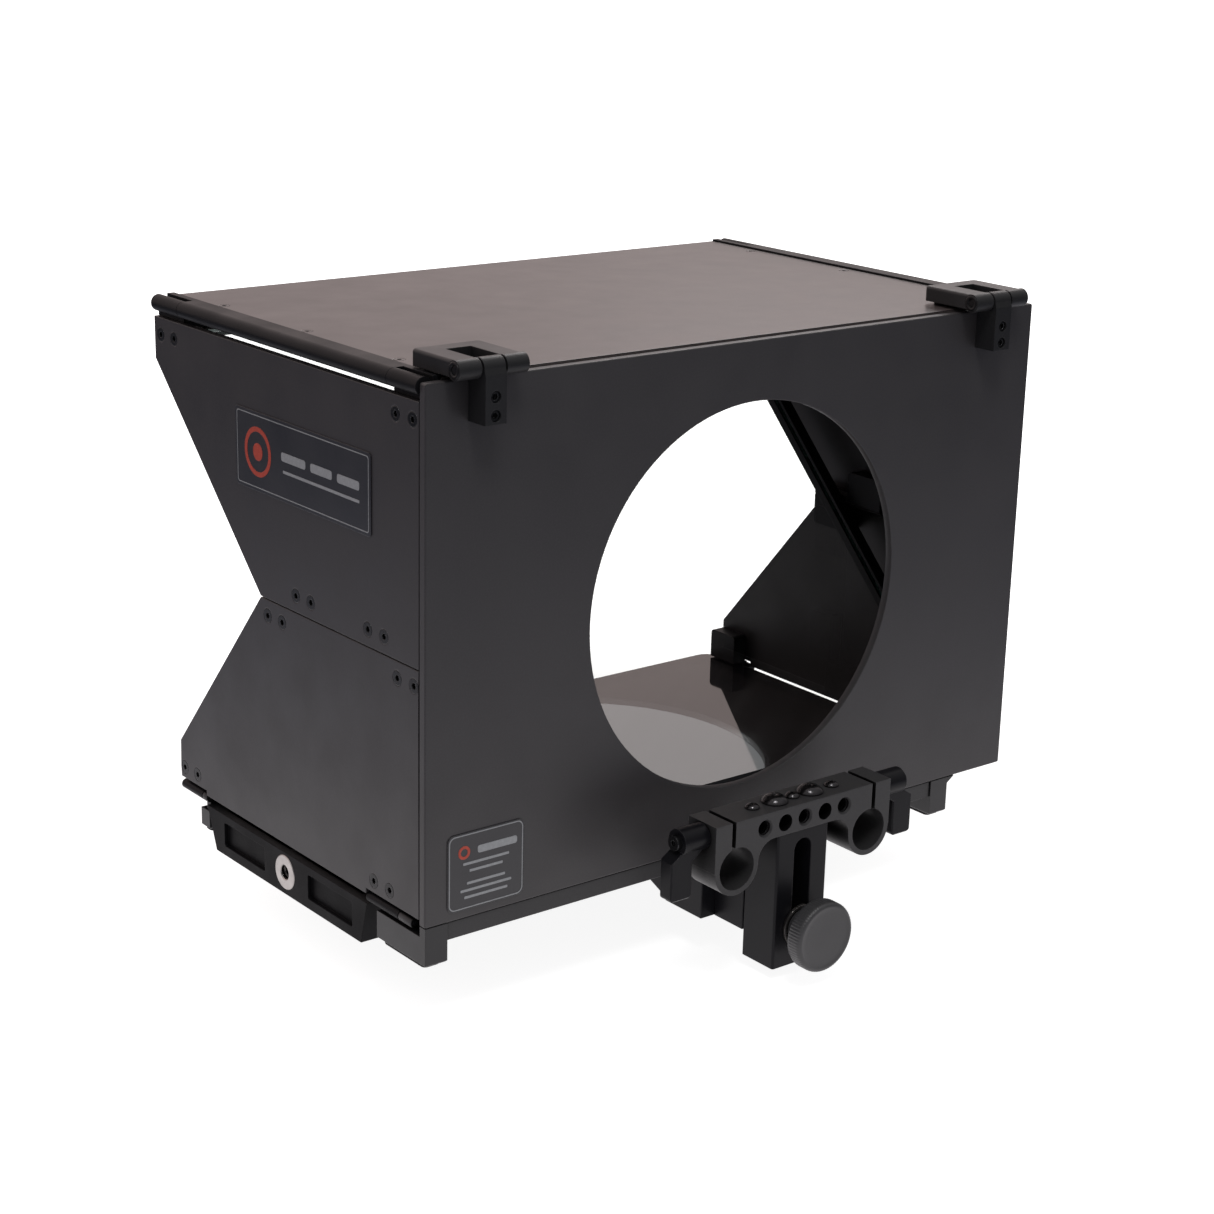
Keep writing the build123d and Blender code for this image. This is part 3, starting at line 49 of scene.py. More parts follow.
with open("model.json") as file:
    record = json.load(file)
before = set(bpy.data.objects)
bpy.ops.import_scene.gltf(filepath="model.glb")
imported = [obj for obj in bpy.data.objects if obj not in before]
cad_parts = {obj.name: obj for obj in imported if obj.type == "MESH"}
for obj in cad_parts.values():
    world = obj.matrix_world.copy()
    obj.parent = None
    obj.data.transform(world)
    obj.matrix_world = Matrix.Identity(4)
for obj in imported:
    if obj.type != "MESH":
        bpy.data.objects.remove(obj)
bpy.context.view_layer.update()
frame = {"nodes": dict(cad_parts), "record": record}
NODES = frame["nodes"]

# Where the inner faces of the side walls and of the camera panel lie, with a small margin
INNER_MARGIN = 0.1 * MM
INNER_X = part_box("side_panel_upper_right")[0].x + INNER_MARGIN
INNER_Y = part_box("camera_panel")[1].y - INNER_MARGIN


# ---- Materials --------------------------------------------------------------
def new_material(name):
    """An empty node material with its tree and output node."""
    made = bpy.data.materials.new(name)
    made.use_nodes = True
    tree = made.node_tree
    tree.nodes.clear()
    return made, tree, tree.nodes.new("ShaderNodeOutputMaterial")


def object_coords(tree):
    """Object coordinates, which are the row frame in metres."""
    return tree.nodes.new("ShaderNodeTexCoord").outputs["Object"]


def components(tree, vector):
    """The x, y and z sockets of a vector socket."""
    parts = tree.nodes.new("ShaderNodeSeparateXYZ")
    tree.links.new(vector, parts.inputs[0])
    return parts.outputs


def mix_shaders(tree, factor, first, second):
    """Mixes two shader sockets by a socket."""
    node = tree.nodes.new("ShaderNodeMixShader")
    for slot_index, socket in enumerate((factor, first, second)):
        tree.links.new(socket, node.inputs[slot_index])
    return node.outputs[0]


def noise(tree, coords, scale, detail=3.0, rough=0.5):
    """A noise texture on object coordinates, in features per metre."""
    node = tree.nodes.new("ShaderNodeTexNoise")
    node.inputs["Scale"].default_value = scale
    node.inputs["Detail"].default_value = detail
    node.inputs["Roughness"].default_value = rough
    tree.links.new(coords, node.inputs["Vector"])
    return node.outputs["Fac"]


def remap(tree, value, low, high, start=0.3, stop=0.7):
    """Maps a 0 to 1 signal from start..stop to low..high, clamped."""
    node = tree.nodes.new("ShaderNodeMapRange")
    ends = (("From Min", start), ("From Max", stop), ("To Min", low), ("To Max", high))
    for key, number in ends:
        node.inputs[key].default_value = number
    tree.links.new(value, node.inputs["Value"])
    return node.outputs["Result"]


def arithmetic(tree, operation, first, second=None, clamp=False):
    """One math node; the inputs are sockets or numbers."""
    node = tree.nodes.new("ShaderNodeMath")
    node.operation = operation
    node.use_clamp = clamp
    for slot_index, value in enumerate((first, second)):
        if value is None:
            continue
        if isinstance(value, (int, float)):
            node.inputs[slot_index].default_value = value
        else:
            tree.links.new(value, node.inputs[slot_index])
    return node.outputs[0]


def mix_colour(tree, factor, first, second):
    """Mixes two colours, each a socket or an RGB tuple, by a socket or number."""
    node = tree.nodes.new("ShaderNodeMix")
    node.data_type = "RGBA"
    for slot_index, value in ((0, factor), (6, first), (7, second)):
        if isinstance(value, (int, float)):
            node.inputs[slot_index].default_value = value
        elif isinstance(value, tuple):
            node.inputs[slot_index].default_value = (*value, 1.0)
        else:
            tree.links.new(value, node.inputs[slot_index])
    return node.outputs[2]


def bump(tree, height, distance, strength=1.0, normal=None):
    """A bump node of the given height signal; distance in metres."""
    node = tree.nodes.new("ShaderNodeBump")
    node.inputs["Strength"].default_value = strength
    node.inputs["Distance"].default_value = distance
    tree.links.new(height, node.inputs["Height"])
    if normal is not None:
        tree.links.new(normal, node.inputs["Normal"])
    return node.outputs["Normal"]


def edge_mask(tree, radius):
    """A mask that is 1 on convex and concave edges, and the rounded normal there."""
    bevel = tree.nodes.new("ShaderNodeBevel")
    bevel.samples = 4
    bevel.inputs["Radius"].default_value = radius
    geometry = tree.nodes.new("ShaderNodeNewGeometry")
    dot = tree.nodes.new("ShaderNodeVectorMath")
    dot.operation = "DOT_PRODUCT"
    tree.links.new(bevel.outputs["Normal"], dot.inputs[0])
    tree.links.new(geometry.outputs["Normal"], dot.inputs[1])
    # The cosine between the two normals runs from 0.72 on a sharp edge to 0.97 on a flat
    mask = remap(tree, dot.outputs["Value"], 1.0, 0.0, start=0.72, stop=0.97)
    return mask, bevel.outputs["Normal"]


def inner_mask(tree, coords):
    """A mask that is 1 on the panel faces turned into the box."""
    x, y, _ = components(tree, coords)
    between_walls = arithmetic(tree, "LESS_THAN", arithmetic(tree, "ABSOLUTE", x), INNER_X)
    behind_panel = arithmetic(tree, "GREATER_THAN", y, INNER_Y)
    return arithmetic(tree, "MULTIPLY", between_walls, behind_panel)


def painted_cavity_shade(tree, reach):
    """Painted shade: 1 in the open, falling to 0.08 in bores and gaps within reach, in metres."""
    shade = tree.nodes.new("ShaderNodeAmbientOcclusion")
    shade.samples = 8
    shade.inputs["Distance"].default_value = reach
    return remap(tree, shade.outputs["AO"], 0.08, 1.0, start=0.45, stop=0.92)


WEAR_RADIUS = 0.00035       # metres from an edge within which it counts as worn
SPECKLE_GAIN = 1.35         # how much lighter the fine speckle is than the base colour
WORN_GLOSS = 0.15           # how much smoother a worn edge is
STREAK_HEIGHT = 0.8         # height of brushed lines, as a share of the grain


def finish_material(
    name,
    base,
    roughness,
    metallic=0.0,
    grain=900.0,
    grain_depth=0.00002,
    blotch=0.12,
    spread=0.06,
    wear=0.35,
    wear_colour=(0.16, 0.16, 0.17),
    streak=None,
    coat=0.0,
    specular=0.5,
    inner_shade=1.0,
    cavity=0.0,
):
    """A hard surface: base colour with slow blotches, fine grain, uneven gloss and worn edges.

    Below 1, inner_shade darkens and dulls the faces turned into the box as painted shade.
    Above 0, cavity is the reach in metres within which bores and gaps darken with painted shade.
    A finish uses one of the two at most, because both set the specular level.
    """
    made, tree, out = new_material(name)
    coords = object_coords(tree)
    shader = tree.nodes.new("ShaderNodeBsdfPrincipled")
    shader.inputs["Metallic"].default_value = metallic
    shader.inputs["Specular IOR Level"].default_value = specular
    shader.inputs["Coat Weight"].default_value = coat
    slow = noise(tree, coords, 14.0, 4.0)
    fine = noise(tree, coords, grain, 2.0, 0.6)
    dark = tuple(c * (1 - blotch) for c in base)
    light = tuple(min(1.0, c * (1 + blotch)) for c in base)
    colour = mix_colour(tree, remap(tree, slow, 0.0, 1.0), dark, light)
    speckle_mask = remap(tree, fine, 0.0, 0.5, 0.45, 0.75)
    speckle = mix_colour(tree, speckle_mask, colour, tuple(c * SPECKLE_GAIN for c in base))
    mask, rounded = edge_mask(tree, WEAR_RADIUS)
    patchy = remap(tree, noise(tree, coords, 160.0, 3.0), 0.15, 1.0, 0.38, 0.62)
    worn = arithmetic(tree, "MULTIPLY", arithmetic(tree, "MULTIPLY", mask, patchy), wear)
    paint = mix_colour(tree, worn, speckle, wear_colour)
    gloss = remap(tree, noise(tree, coords, 55.0, 5.0), roughness - spread, roughness + spread)
    # Painted shade: faces turned into the box get a darker base colour and a lower specular level
    if inner_shade < 1:
        inside = inner_mask(tree, coords)
        paint = mix_colour(tree, inside, paint, tuple(c * inner_shade for c in base))
        level = remap(tree, inside, specular, specular * inner_shade, 0.0, 1.0)
        tree.links.new(level, shader.inputs["Specular IOR Level"])
    # Painted shade from ambient occlusion: bores and gaps get a darker base colour and less
    # specular
    if cavity > 0:
        open_to_light = painted_cavity_shade(tree, cavity)
        paint = mix_colour(tree, open_to_light, BLACK, paint)
        level = arithmetic(tree, "MULTIPLY", open_to_light, specular)
        tree.links.new(level, shader.inputs["Specular IOR Level"])
    tree.links.new(paint, shader.inputs["Base Color"])
    polish = arithmetic(tree, "MULTIPLY", worn, WORN_GLOSS)
    tree.links.new(arithmetic(tree, "SUBTRACT", gloss, polish), shader.inputs["Roughness"])
    height = fine
    if streak is not None:
        mapping = tree.nodes.new("ShaderNodeMapping")
        mapping.inputs["Scale"].default_value = streak
        tree.links.new(coords, mapping.inputs["Vector"])
        lines = noise(tree, mapping.outputs["Vector"], 1.0, 3.0)
        height = arithmetic(tree, "ADD", fine, arithmetic(tree, "MULTIPLY", lines, STREAK_HEIGHT))
    tree.links.new(bump(tree, height, grain_depth, 1.0, rounded), shader.inputs["Normal"])
    tree.links.new(shader.outputs["BSDF"], out.inputs["Surface"])
    return made


FACE_DEPTH = 0.9 * MM       # from the plate's middle plane; its faces lie 1 mm from it
COATING = 0.225             # mirror share of the coated face, seen square on
PLAIN_MIRROR = 0.012        # mirror share of the plain face


def glass_material(name, low):
    """Beam-splitter plate: a weak mirror coating on the face turned to the monitor, else clear.

    The plate leans at 45 degrees, so z - y measures depth through it; low is its lower corner.
    """
    made, tree, out = new_material(name)
    coords = object_coords(tree)
    _, y, z = components(tree, coords)
    rise = arithmetic(tree, "SUBTRACT", arithmetic(tree, "SUBTRACT", z, y), low.z - low.y)
    depth = arithmetic(tree, "MULTIPLY", rise, math.sqrt(0.5))
    is_coated = arithmetic(tree, "LESS_THAN", depth, -FACE_DEPTH)
    is_face = arithmetic(tree, "GREATER_THAN", arithmetic(tree, "ABSOLUTE", depth), FACE_DEPTH)
    layer = tree.nodes.new("ShaderNodeLayerWeight")
    layer.inputs["Blend"].default_value = 0.12
    smudge = remap(tree, noise(tree, coords, 30.0, 4.0), 0.0, 0.012, 0.5, 0.75)
    grazing = arithmetic(tree, "MULTIPLY", layer.outputs["Fresnel"], 0.5)
    sheen = arithmetic(tree, "ADD", grazing, smudge)
    coating = arithmetic(tree, "MULTIPLY", is_coated, arithmetic(tree, "ADD", sheen, COATING))
    uncoated = arithmetic(tree, "SUBTRACT", 1.0, is_coated)
    plain = arithmetic(tree, "MULTIPLY", uncoated, PLAIN_MIRROR)
    mirror = tree.nodes.new("ShaderNodeBsdfGlossy")
    mirror.inputs["Roughness"].default_value = 0.0
    mirror.inputs["Color"].default_value = (0.95, 0.99, 1.0, 1.0)
    clear = tree.nodes.new("ShaderNodeBsdfTransparent")
    clear.inputs["Color"].default_value = (0.985, 0.99, 0.985, 1.0)
    share = arithmetic(tree, "ADD", coating, plain, clamp=True)
    pane = mix_shaders(tree, share, clear.outputs[0], mirror.outputs[0])
    rim = tree.nodes.new("ShaderNodeBsdfPrincipled")
    rim.inputs["Base Color"].default_value = (0.10, 0.22, 0.18, 1.0)
    rim.inputs["Roughness"].default_value = 0.25
    whole = mix_shaders(tree, is_face, rim.outputs[0], pane)
    tree.links.new(whole, out.inputs["Surface"])
    return made


PRINTED_BLACK = (0.004, 0.004, 0.005)
PICTURE_GREY = (0.013, 0.012, 0.013)
DUST_AND_SHEEN_GREY = (0.4, 0.4, 0.4)
STREAK_ANGLE = math.radians(36)           # direction of the painted reflection streaks, from the x axis
STREAK_SIZE = (0.4, 0.011, 1.0)           # length and width of the painted reflection streaks, in metres


def screen_material(name, low, high, border):
    """Glossy monitor front: a jet-black printed border round a slightly grey picture area."""
    made, tree, out = new_material(name)
    coords = object_coords(tree)
    position = components(tree, coords)
    centre, half = (low + high) / 2, (high - low) / 2
    inside = 1.0
    for axis in (0, 1):
        shifted = arithmetic(tree, "SUBTRACT", position[axis], centre[axis])
        offset = arithmetic(tree, "ABSOLUTE", shifted)
        inside_axis = arithmetic(tree, "LESS_THAN", offset, half[axis] - border)
        inside = arithmetic(tree, "MULTIPLY", inside_axis, inside)
    shader = tree.nodes.new("ShaderNodeBsdfPrincipled")
    dusty = remap(tree, noise(tree, coords, 1400.0, 2.0), 0.0, 1.0, 0.66, 0.72)
    picture = mix_colour(tree, inside, PRINTED_BLACK, PICTURE_GREY)
    # Painted reflection: light diagonal streaks mixed into the base colour in place of reflected
    # light
    streak_mapping = tree.nodes.new("ShaderNodeMapping")
    streak_mapping.vector_type = "TEXTURE"
    streak_mapping.inputs["Rotation"].default_value = (0.0, 0.0, STREAK_ANGLE)
    streak_mapping.inputs["Scale"].default_value = STREAK_SIZE
    tree.links.new(coords, streak_mapping.inputs["Vector"])
    painted_streaks = remap(tree, noise(tree, streak_mapping.outputs["Vector"], 1.0, 2.0), 0.0, 0.035, 0.42, 0.66)
    # Fine dust plus the painted reflection streaks, both towards a light grey
    dust_and_sheen = arithmetic(tree, "ADD", arithmetic(tree, "MULTIPLY", dusty, 0.02), painted_streaks)
    tree.links.new(mix_colour(tree, dust_and_sheen, picture, DUST_AND_SHEEN_GREY), shader.inputs["Base Color"])
    gloss = remap(tree, noise(tree, coords, 25.0, 4.0), 0.025, 0.07)
    tree.links.new(gloss, shader.inputs["Roughness"])
    shader.inputs["Specular Tint"].default_value = (1.0, 0.93, 0.9, 1.0)
    shader.inputs["Coat Weight"].default_value = 0.35
    shader.inputs["Coat Roughness"].default_value = 0.03
    ripple = bump(tree, noise(tree, coords, 45.0, 2.0), 0.00001)
    tree.links.new(ripple, shader.inputs["Normal"])
    tree.links.new(shader.outputs["BSDF"], out.inputs["Surface"])
    return made


def bare_steel_material(name, base, roughness):
    """Bare steel: fine tool grain, uneven gloss, and painted shade in the bores."""
    made, tree, out = new_material(name)
    coords = object_coords(tree)
    shader = tree.nodes.new("ShaderNodeBsdfPrincipled")
    shader.inputs["Metallic"].default_value = 1.0
    fine = noise(tree, coords, 2600.0, 2.0)
    patches = remap(tree, noise(tree, coords, 220.0), 0.0, 1.0)
    colour = mix_colour(tree, patches, tuple(c * 0.8 for c in base), base)
    # Painted shade in bores and gaps, from ambient occlusion
    shaded = mix_colour(tree, painted_cavity_shade(tree, 0.006), BLACK, colour)
    tree.links.new(shaded, shader.inputs["Base Color"])
    gloss = remap(tree, noise(tree, coords, 300.0), roughness - 0.07, roughness + 0.07)
    tree.links.new(gloss, shader.inputs["Roughness"])
    _, rounded = edge_mask(tree, 0.0002)
    tree.links.new(bump(tree, fine, 0.000012, 1.0, rounded), shader.inputs["Normal"])
    tree.links.new(shader.outputs["BSDF"], out.inputs["Surface"])
    return made


BRUSHED = (30.0, 30.0, 2200.0)         # streaks along x and y, many per metre of height
SCREEN_BORDER = 9 * MM

FINISHES = {
    "black_panel": dict(
        base=(0.0235, 0.0215, 0.0228), roughness=0.44, spread=0.05, grain=1500.0,
        grain_depth=0.000012, wear=0.2, inner_shade=0.45,
    ),
    # A lighter copy of black_panel for the camera panel: painted light on the face towards the
    # camera
    "lit_front_panel": dict(
        base=(0.033, 0.0308, 0.0322), roughness=0.44, spread=0.05, grain=1500.0,
        grain_depth=0.000012, wear=0.2, inner_shade=0.4,
    ),
    "top_sheet": dict(
        base=(0.051, 0.0418, 0.0408), roughness=0.34, spread=0.03, grain=1500.0,
        grain_depth=0.00001, blotch=0.06, wear=0.3, specular=0.43,
    ),
    "black_plastic": dict(
        base=(0.008, 0.008, 0.009), roughness=0.36, grain=1800.0, wear=0.12,
        wear_colour=(0.05, 0.05, 0.055),
    ),
    "hinge_black": dict(
        base=(0.007, 0.007, 0.008), roughness=0.42, grain=1800.0, wear=0.15,
        wear_colour=(0.05, 0.05, 0.055), specular=0.1,
    ),
    "black_anodised": dict(
        base=(0.036, 0.0355, 0.0365), roughness=0.42, grain=2400.0, grain_depth=0.00001,
        wear=0.45, streak=BRUSHED, specular=0.28, cavity=0.012,
    ),
    "dark_anodised": dict(
        base=(0.0055, 0.0055, 0.007), roughness=0.36, grain=2400.0, grain_depth=0.00001,
        wear=0.5, streak=BRUSHED, specular=0.16,
    ),
    "latch_plastic": dict(
        base=(0.015, 0.015, 0.016), roughness=0.42, grain=1500.0, wear=0.15,
        wear_colour=(0.06, 0.06, 0.065), specular=0.28,
    ),
    "monitor_plastic": dict(
        base=(0.003, 0.003, 0.0037), roughness=0.55, grain=3200.0, grain_depth=0.00004,
        wear=0.1, wear_colour=(0.05, 0.05, 0.05), specular=0.12,
    ),
    "lcd_stack": dict(base=(0.01, 0.01, 0.013), roughness=0.2, wear=0.0),
    "circuit_board": dict(base=(0.02, 0.10, 0.045), roughness=0.4, wear=0.1),
    "knob_plastic": dict(
        base=(0.035, 0.035, 0.037), roughness=0.42, grain=2600.0, grain_depth=0.000015,
        wear=0.25,
    ),
    "dark_screws": dict(
        base=(0.012, 0.012, 0.013), roughness=0.26, metallic=0.6, grain=2200.0, wear=0.5,
        wear_colour=(0.2, 0.2, 0.21),
    ),
    "button_screws": dict(
        base=(0.05, 0.048, 0.05), roughness=0.17, spread=0.04, metallic=0.9, grain=2200.0,
        wear=0.6, wear_colour=(0.3, 0.3, 0.31),
    ),
    "label_film": dict(
        base=(0.013, 0.013, 0.016), roughness=0.34, grain=800.0, grain_depth=0.000004,
        wear=0.05, coat=0.2,
    ),
    "rubber": dict(
        base=(0.012, 0.012, 0.012), roughness=0.7, grain=900.0, grain_depth=0.00006,
        wear=0.1, specular=0.3,
    ),
    "print_grey": dict(
        base=(0.27, 0.28, 0.29), roughness=0.45, grain=1200.0, blotch=0.08, wear=0.0,
    ),
    "print_red": dict(
        base=(0.42, 0.045, 0.02), roughness=0.45, grain=1200.0, blotch=0.08, wear=0.0,
    ),
}
LOOKS = {name: finish_material(name, **settings) for name, settings in FINISHES.items()}
LOOKS["screen_glass"] = screen_material(
    "screen_glass", *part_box("monitor_cover_glass"), SCREEN_BORDER
)
LOOKS["beam_splitter"] = glass_material("beam_splitter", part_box("beam_splitter_glass")[0])
LOOKS["bright_steel"] = bare_steel_material("bright_steel", (0.55, 0.52, 0.5), 0.32)

# Nodes whose own look differs from the rest of their material slot
OWN_LOOK = {
    "camera_panel": "lit_front_panel",
    "clamp_top_screws": "button_screws",
    **dict.fromkeys(
        ("riser_block", "mount_block", "mount_arm", "clamp_lever_left", "clamp_lever_right"),
        "dark_anodised",
    ),
    **dict.fromkeys(("lever_cap_screw_left", "lever_cap_screw_right"), "dark_screws"),
    **dict.fromkeys(
        (
            "glass_rails", "glass_top_bar", "glass_bottom_bar", "top_rails", "hinge_rods_top",
            "hinge_pins_bottom", "hinge_blocks_upper_left", "hinge_blocks_upper_right",
            "hinge_blocks_lower_left", "hinge_blocks_lower_right",
        ),
        "hinge_black",
    ),
}

for entry in frame["record"]["subparts"]:
    data = NODES[entry["node"]].data
    data.materials.clear()
    data.materials.append(LOOKS[OWN_LOOK.get(entry["node"], entry["material_slot"])])


# ---- Rounded edges on the CAD nodes -----------------------------------------
WELD_REACH = 2e-6           # metres
SHARP_ANGLE = math.radians(35)


def soften(node, width):
    """Welds a node's split corners and rounds its sharp edges, as modifiers only."""
    holder = NODES[node]
    weld = holder.modifiers.new("weld", "WELD")
    weld.merge_threshold = WELD_REACH
    edge = holder.modifiers.new("edge", "BEVEL")
    edge.width = width
    edge.segments = 2
    edge.limit_method = "ANGLE"
    edge.angle_limit = SHARP_ANGLE
    edge.use_clamp_overlap = False
    edge.miter_outer = "MITER_SHARP"
    edge.loop_slide = False


# Nodes by the width of their eased edges, in millimetres
SOFT_EDGES = {
    0.30: ["top_panel", "mount_block", "mount_arm", "base_front_beam", "base_rear_beam",
           "glass_top_bar"],
    0.22: ["camera_panel", "riser_block", "side_panel_upper_left", "side_panel_upper_right",
           "side_panel_lower_left", "side_panel_lower_right"],
}
for width, names in SOFT_EDGES.items():
    for name in names:
        soften(name, width * MM)


# ---- Mesh helpers -----------------------------------------------------------
def piece(name, parts, body, look, smooth=False):
    """Several (verts, faces) parts as one mesh on a body, with its finish and material slot."""
    verts, faces = [], []
    for part_verts, part_faces in parts:
        start = len(verts)
        verts += part_verts
        faces += [tuple(i + start for i in face) for face in part_faces]
    mesh = bpy.data.meshes.new(name)
    mesh.from_pydata([tuple(v) for v in verts], [], faces)
    mesh.validate()
    mesh.materials.append(LOOKS[look])
    for polygon in mesh.polygons:
        polygon.use_smooth = smooth
    made = bpy.data.objects.new(name, mesh)
    bpy.context.scene.collection.objects.link(made)
    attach(made, body)
    return made


def basis(origin, outward, along):
    """A matrix whose +Z is outward and +X is along, at origin."""
    z = Vector(outward).normalized()
    x = (Vector(along) - z * Vector(along).dot(z)).normalized()
    y = z.cross(x)
    return Matrix.Translation(Vector(origin)) @ Matrix((x, y, z)).transposed().to_4x4()


def lathe(profile, place, steps=96, ridge=None):
    """Turns (radius, height) points about a placed +Z.

    ridge(angle, radius, height), if given, returns the radius to use instead.
    """
    verts, faces = [], []
    for radius, height in profile:
        for k in range(steps):
            angle = 2 * math.pi * k / steps
            r = ridge(angle, radius, height) if ridge else radius
            verts.append(place @ Vector((r * math.cos(angle), r * math.sin(angle), height)))
    for row in range(len(profile) - 1):
        for k in range(steps):
            nxt = (k + 1) % steps
            near, far = row * steps, (row + 1) * steps
            faces.append((near + k, near + nxt, far + nxt, far + k))
    return verts, faces


RIDGE_HALF_WIDTH = 0.42     # of a thread ridge, as a share of the pitch


def coil(radius, crest, pitch, length, place, inward=True, steps=36):
    """A thread ridge of triangular section about a placed +Z, from height 0 down to -length."""
    verts, faces = [], []
    count = int(length / pitch * steps)
    tip = radius - crest if inward else radius + crest
    for k in range(count + 1):
        angle = 2 * math.pi * k / steps
        level = -length * k / count
        fade = min(1.0, k / steps, (count - k) / steps)
        reach = radius + (tip - radius) * fade
        half = pitch * RIDGE_HALF_WIDTH
        for r, rise in ((radius, half), (reach, 0.0), (radius, -half)):
            point = Vector((r * math.cos(angle), r * math.sin(angle), level + rise * fade))
            verts.append(place @ point)
    for k in range(count):
        a = 3 * k
        faces += [(a, a + 3, a + 4, a + 1), (a + 1, a + 4, a + 5, a + 2), (a + 2, a + 5, a + 3, a)]
    return verts, faces


def rounded_outline(width, height, radius, steps=6):
    """Corner-rounded rectangle points, counter-clockwise about the centre."""
    points = []
    for sx, sy, start in ((1, 1, 0), (-1, 1, 90), (-1, -1, 180), (1, -1, 270)):
        for k in range(steps + 1):
            angle = math.radians(start + 90 * k / steps)
            points.append((sx * (width / 2 - radius) + radius * math.cos(angle),
                           sy * (height / 2 - radius) + radius * math.sin(angle)))
    return points


def slab(outline, thickness, place, shift=(0.0, 0.0), bevel=0.0):
    """A closed plate on the placed XY plane, from an outline, its top edge eased by bevel."""
    n = len(outline)
    cx = sum(p[0] for p in outline) / n
    cy = sum(p[1] for p in outline) / n
    reach = max(math.hypot(p[0] - cx, p[1] - cy) for p in outline)
    verts, faces = [], []
    for level, inset in ((0.0, 0.0), (thickness - bevel, 0.0), (thickness, bevel)):
        k = 1 - inset / reach
        for px, py in outline:
            x, y = cx + (px - cx) * k + shift[0], cy + (py - cy) * k + shift[1]
            verts.append(place @ Vector((x, y, level)))
    for row in (0, 1):
        for i in range(n):
            j = (i + 1) % n
            faces.append((row * n + i, row * n + j, (row + 1) * n + j, (row + 1) * n + i))
    faces.append(tuple(range(2 * n, 3 * n)))
    faces.append(tuple(reversed(range(n))))
    return verts, faces


def band(outer, inner, thickness, place, shift=(0.0, 0.0)):
    """A closed frame between two outlines with the same number of points."""
    n = len(outer)
    verts, faces = [], []
    for outline, level in ((outer, 0.0), (outer, thickness), (inner, thickness), (inner, 0.0)):
        verts += [place @ Vector((x + shift[0], y + shift[1], level)) for x, y in outline]
    for row in range(4):
        nxt = (row + 1) % 4
        for i in range(n):
            j = (i + 1) % n
            faces.append((row * n + i, row * n + j, nxt * n + j, nxt * n + i))
    return verts, faces


# ---- Thumb knob: fluted rim, dished face ------------------------------------
knob_low, knob_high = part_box("thumb_knob")
knob_mid = (knob_low + knob_high) / 2
KNOB_R = (knob_high.x - knob_low.x) / 2
HEAD_DEPTH = 6.5 * MM
FLUTES = 72
FLUTE_DEPTH = 0.14 * MM
RIM_WIDTH = 0.6 * MM        # the flutes lie in this outermost ring
KNOB_STEPS = FLUTES * 6     # points round the head, six to a flute


def fluted(angle, radius, height):
    """Shallow flutes round the rim, fading towards the two faces."""
    if radius < KNOB_R - RIM_WIDTH:
        return radius
    middle = abs(height + HEAD_DEPTH / 2) / (HEAD_DEPTH / 2)
    depth = FLUTE_DEPTH * max(0.0, 1 - middle**6)
    return radius - depth * (0.5 + 0.5 * math.cos(FLUTES * angle))


knob_place = basis((knob_mid.x, knob_low.y, knob_mid.z), (0, -1, 0), (1, 0, 0))
knob_profile = [
    (r * MM, h * MM)
    for r, h in (       # dished face, rim, back, then the hub
        (0.0, -0.35), (3.0, -0.34), (6.0, -0.30), (9.0, -0.22), (10.4, -0.16), (10.7, -0.05),
        (10.95, 0.0), (11.3, -0.02), (11.75, -0.18), (12.15, -0.5), (12.42, -1.0), (12.5, -1.6),
        (12.5, -2.4), (12.5, -3.25), (12.5, -4.1), (12.5, -4.9), (12.4, -5.5), (12.1, -6.1),
        (11.5, -6.5), (9.0, -6.5), (6.9, -6.5), (6.6, -6.8), (6.5, -7.3), (6.5, -12.0),
        (6.2, -12.3), (3.1, -12.3),
    )
]
knob_head = piece(
    "knob_head", [lathe(knob_profile, knob_place, KNOB_STEPS, fluted)],
    "knob", "knob_plastic", smooth=True,
)
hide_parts("thumb_knob")

# ---- Threads ----------------------------------------------------------------
clamp_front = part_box("rod_clamp_body")[0].y
mounts = {m["name"]: m for m in frame["record"]["mounts"]}
THREAD_R = 2.56 * MM
THREAD_CREST = 0.34 * MM
THREAD_PITCH = 1.27 * MM
face_threads = []
for name in ("face_thread_left", "face_thread_centre", "face_thread_right"):
    x, _, z = mounts[name]["pos_m"]
    place = basis((x, clamp_front + 0.5 * MM, z), (0, -1, 0), (1, 0, 0))
    face_threads.append(coil(THREAD_R, THREAD_CREST, THREAD_PITCH, 13.0 * MM, place))
piece("face_thread_ridges", face_threads, "rod_bracket", "black_anodised")

insert_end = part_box("monitor_insert")[0].x
insert_y, insert_z = mounts["accessory_thread"]["pos_m"][1:]
insert_place = basis((insert_end + 0.6 * MM, insert_y, insert_z), (-1, 0, 0), (0, 1, 0))
insert_coil = coil(THREAD_R, THREAD_CREST, THREAD_PITCH, 4.8 * MM, insert_place)
piece("insert_thread_ridge", [insert_coil], "housing", "bright_steel")

stud_low, stud_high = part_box("knob_stud")
stud_r = (stud_high.x - stud_low.x) / 2
stud_place = basis((knob_mid.x, knob_high.y + 1.3 * MM, knob_mid.z), (0, -1, 0), (1, 0, 0))
stud_coil = coil(stud_r - 0.01 * MM, 0.12 * MM, 1.0 * MM, 17.0 * MM, stud_place, inward=False)
piece("knob_stud_thread", [stud_coil], "knob", "bright_steel")


# ---- Label printing: a plain border, one mark and bars, no lettering --------
PRINT_HEIGHT = 0.05 * MM


def label_place(node, outward, along):
    """The placed outer face of a label plate, and the plate's size."""
    low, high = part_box(node)
    middle = (low + high) / 2
    reach = Vector(outward) * ((high - low).dot(Vector([abs(c) for c in outward])) / 2)
    return basis(middle + reach, outward, along), high - low


def bar(width, height, place, shift):
    """A printed bar with rounded ends."""
    outline = rounded_outline(width, height, min(width, height) * 0.3, 3)
    return slab(outline, PRINT_HEIGHT, place, shift)


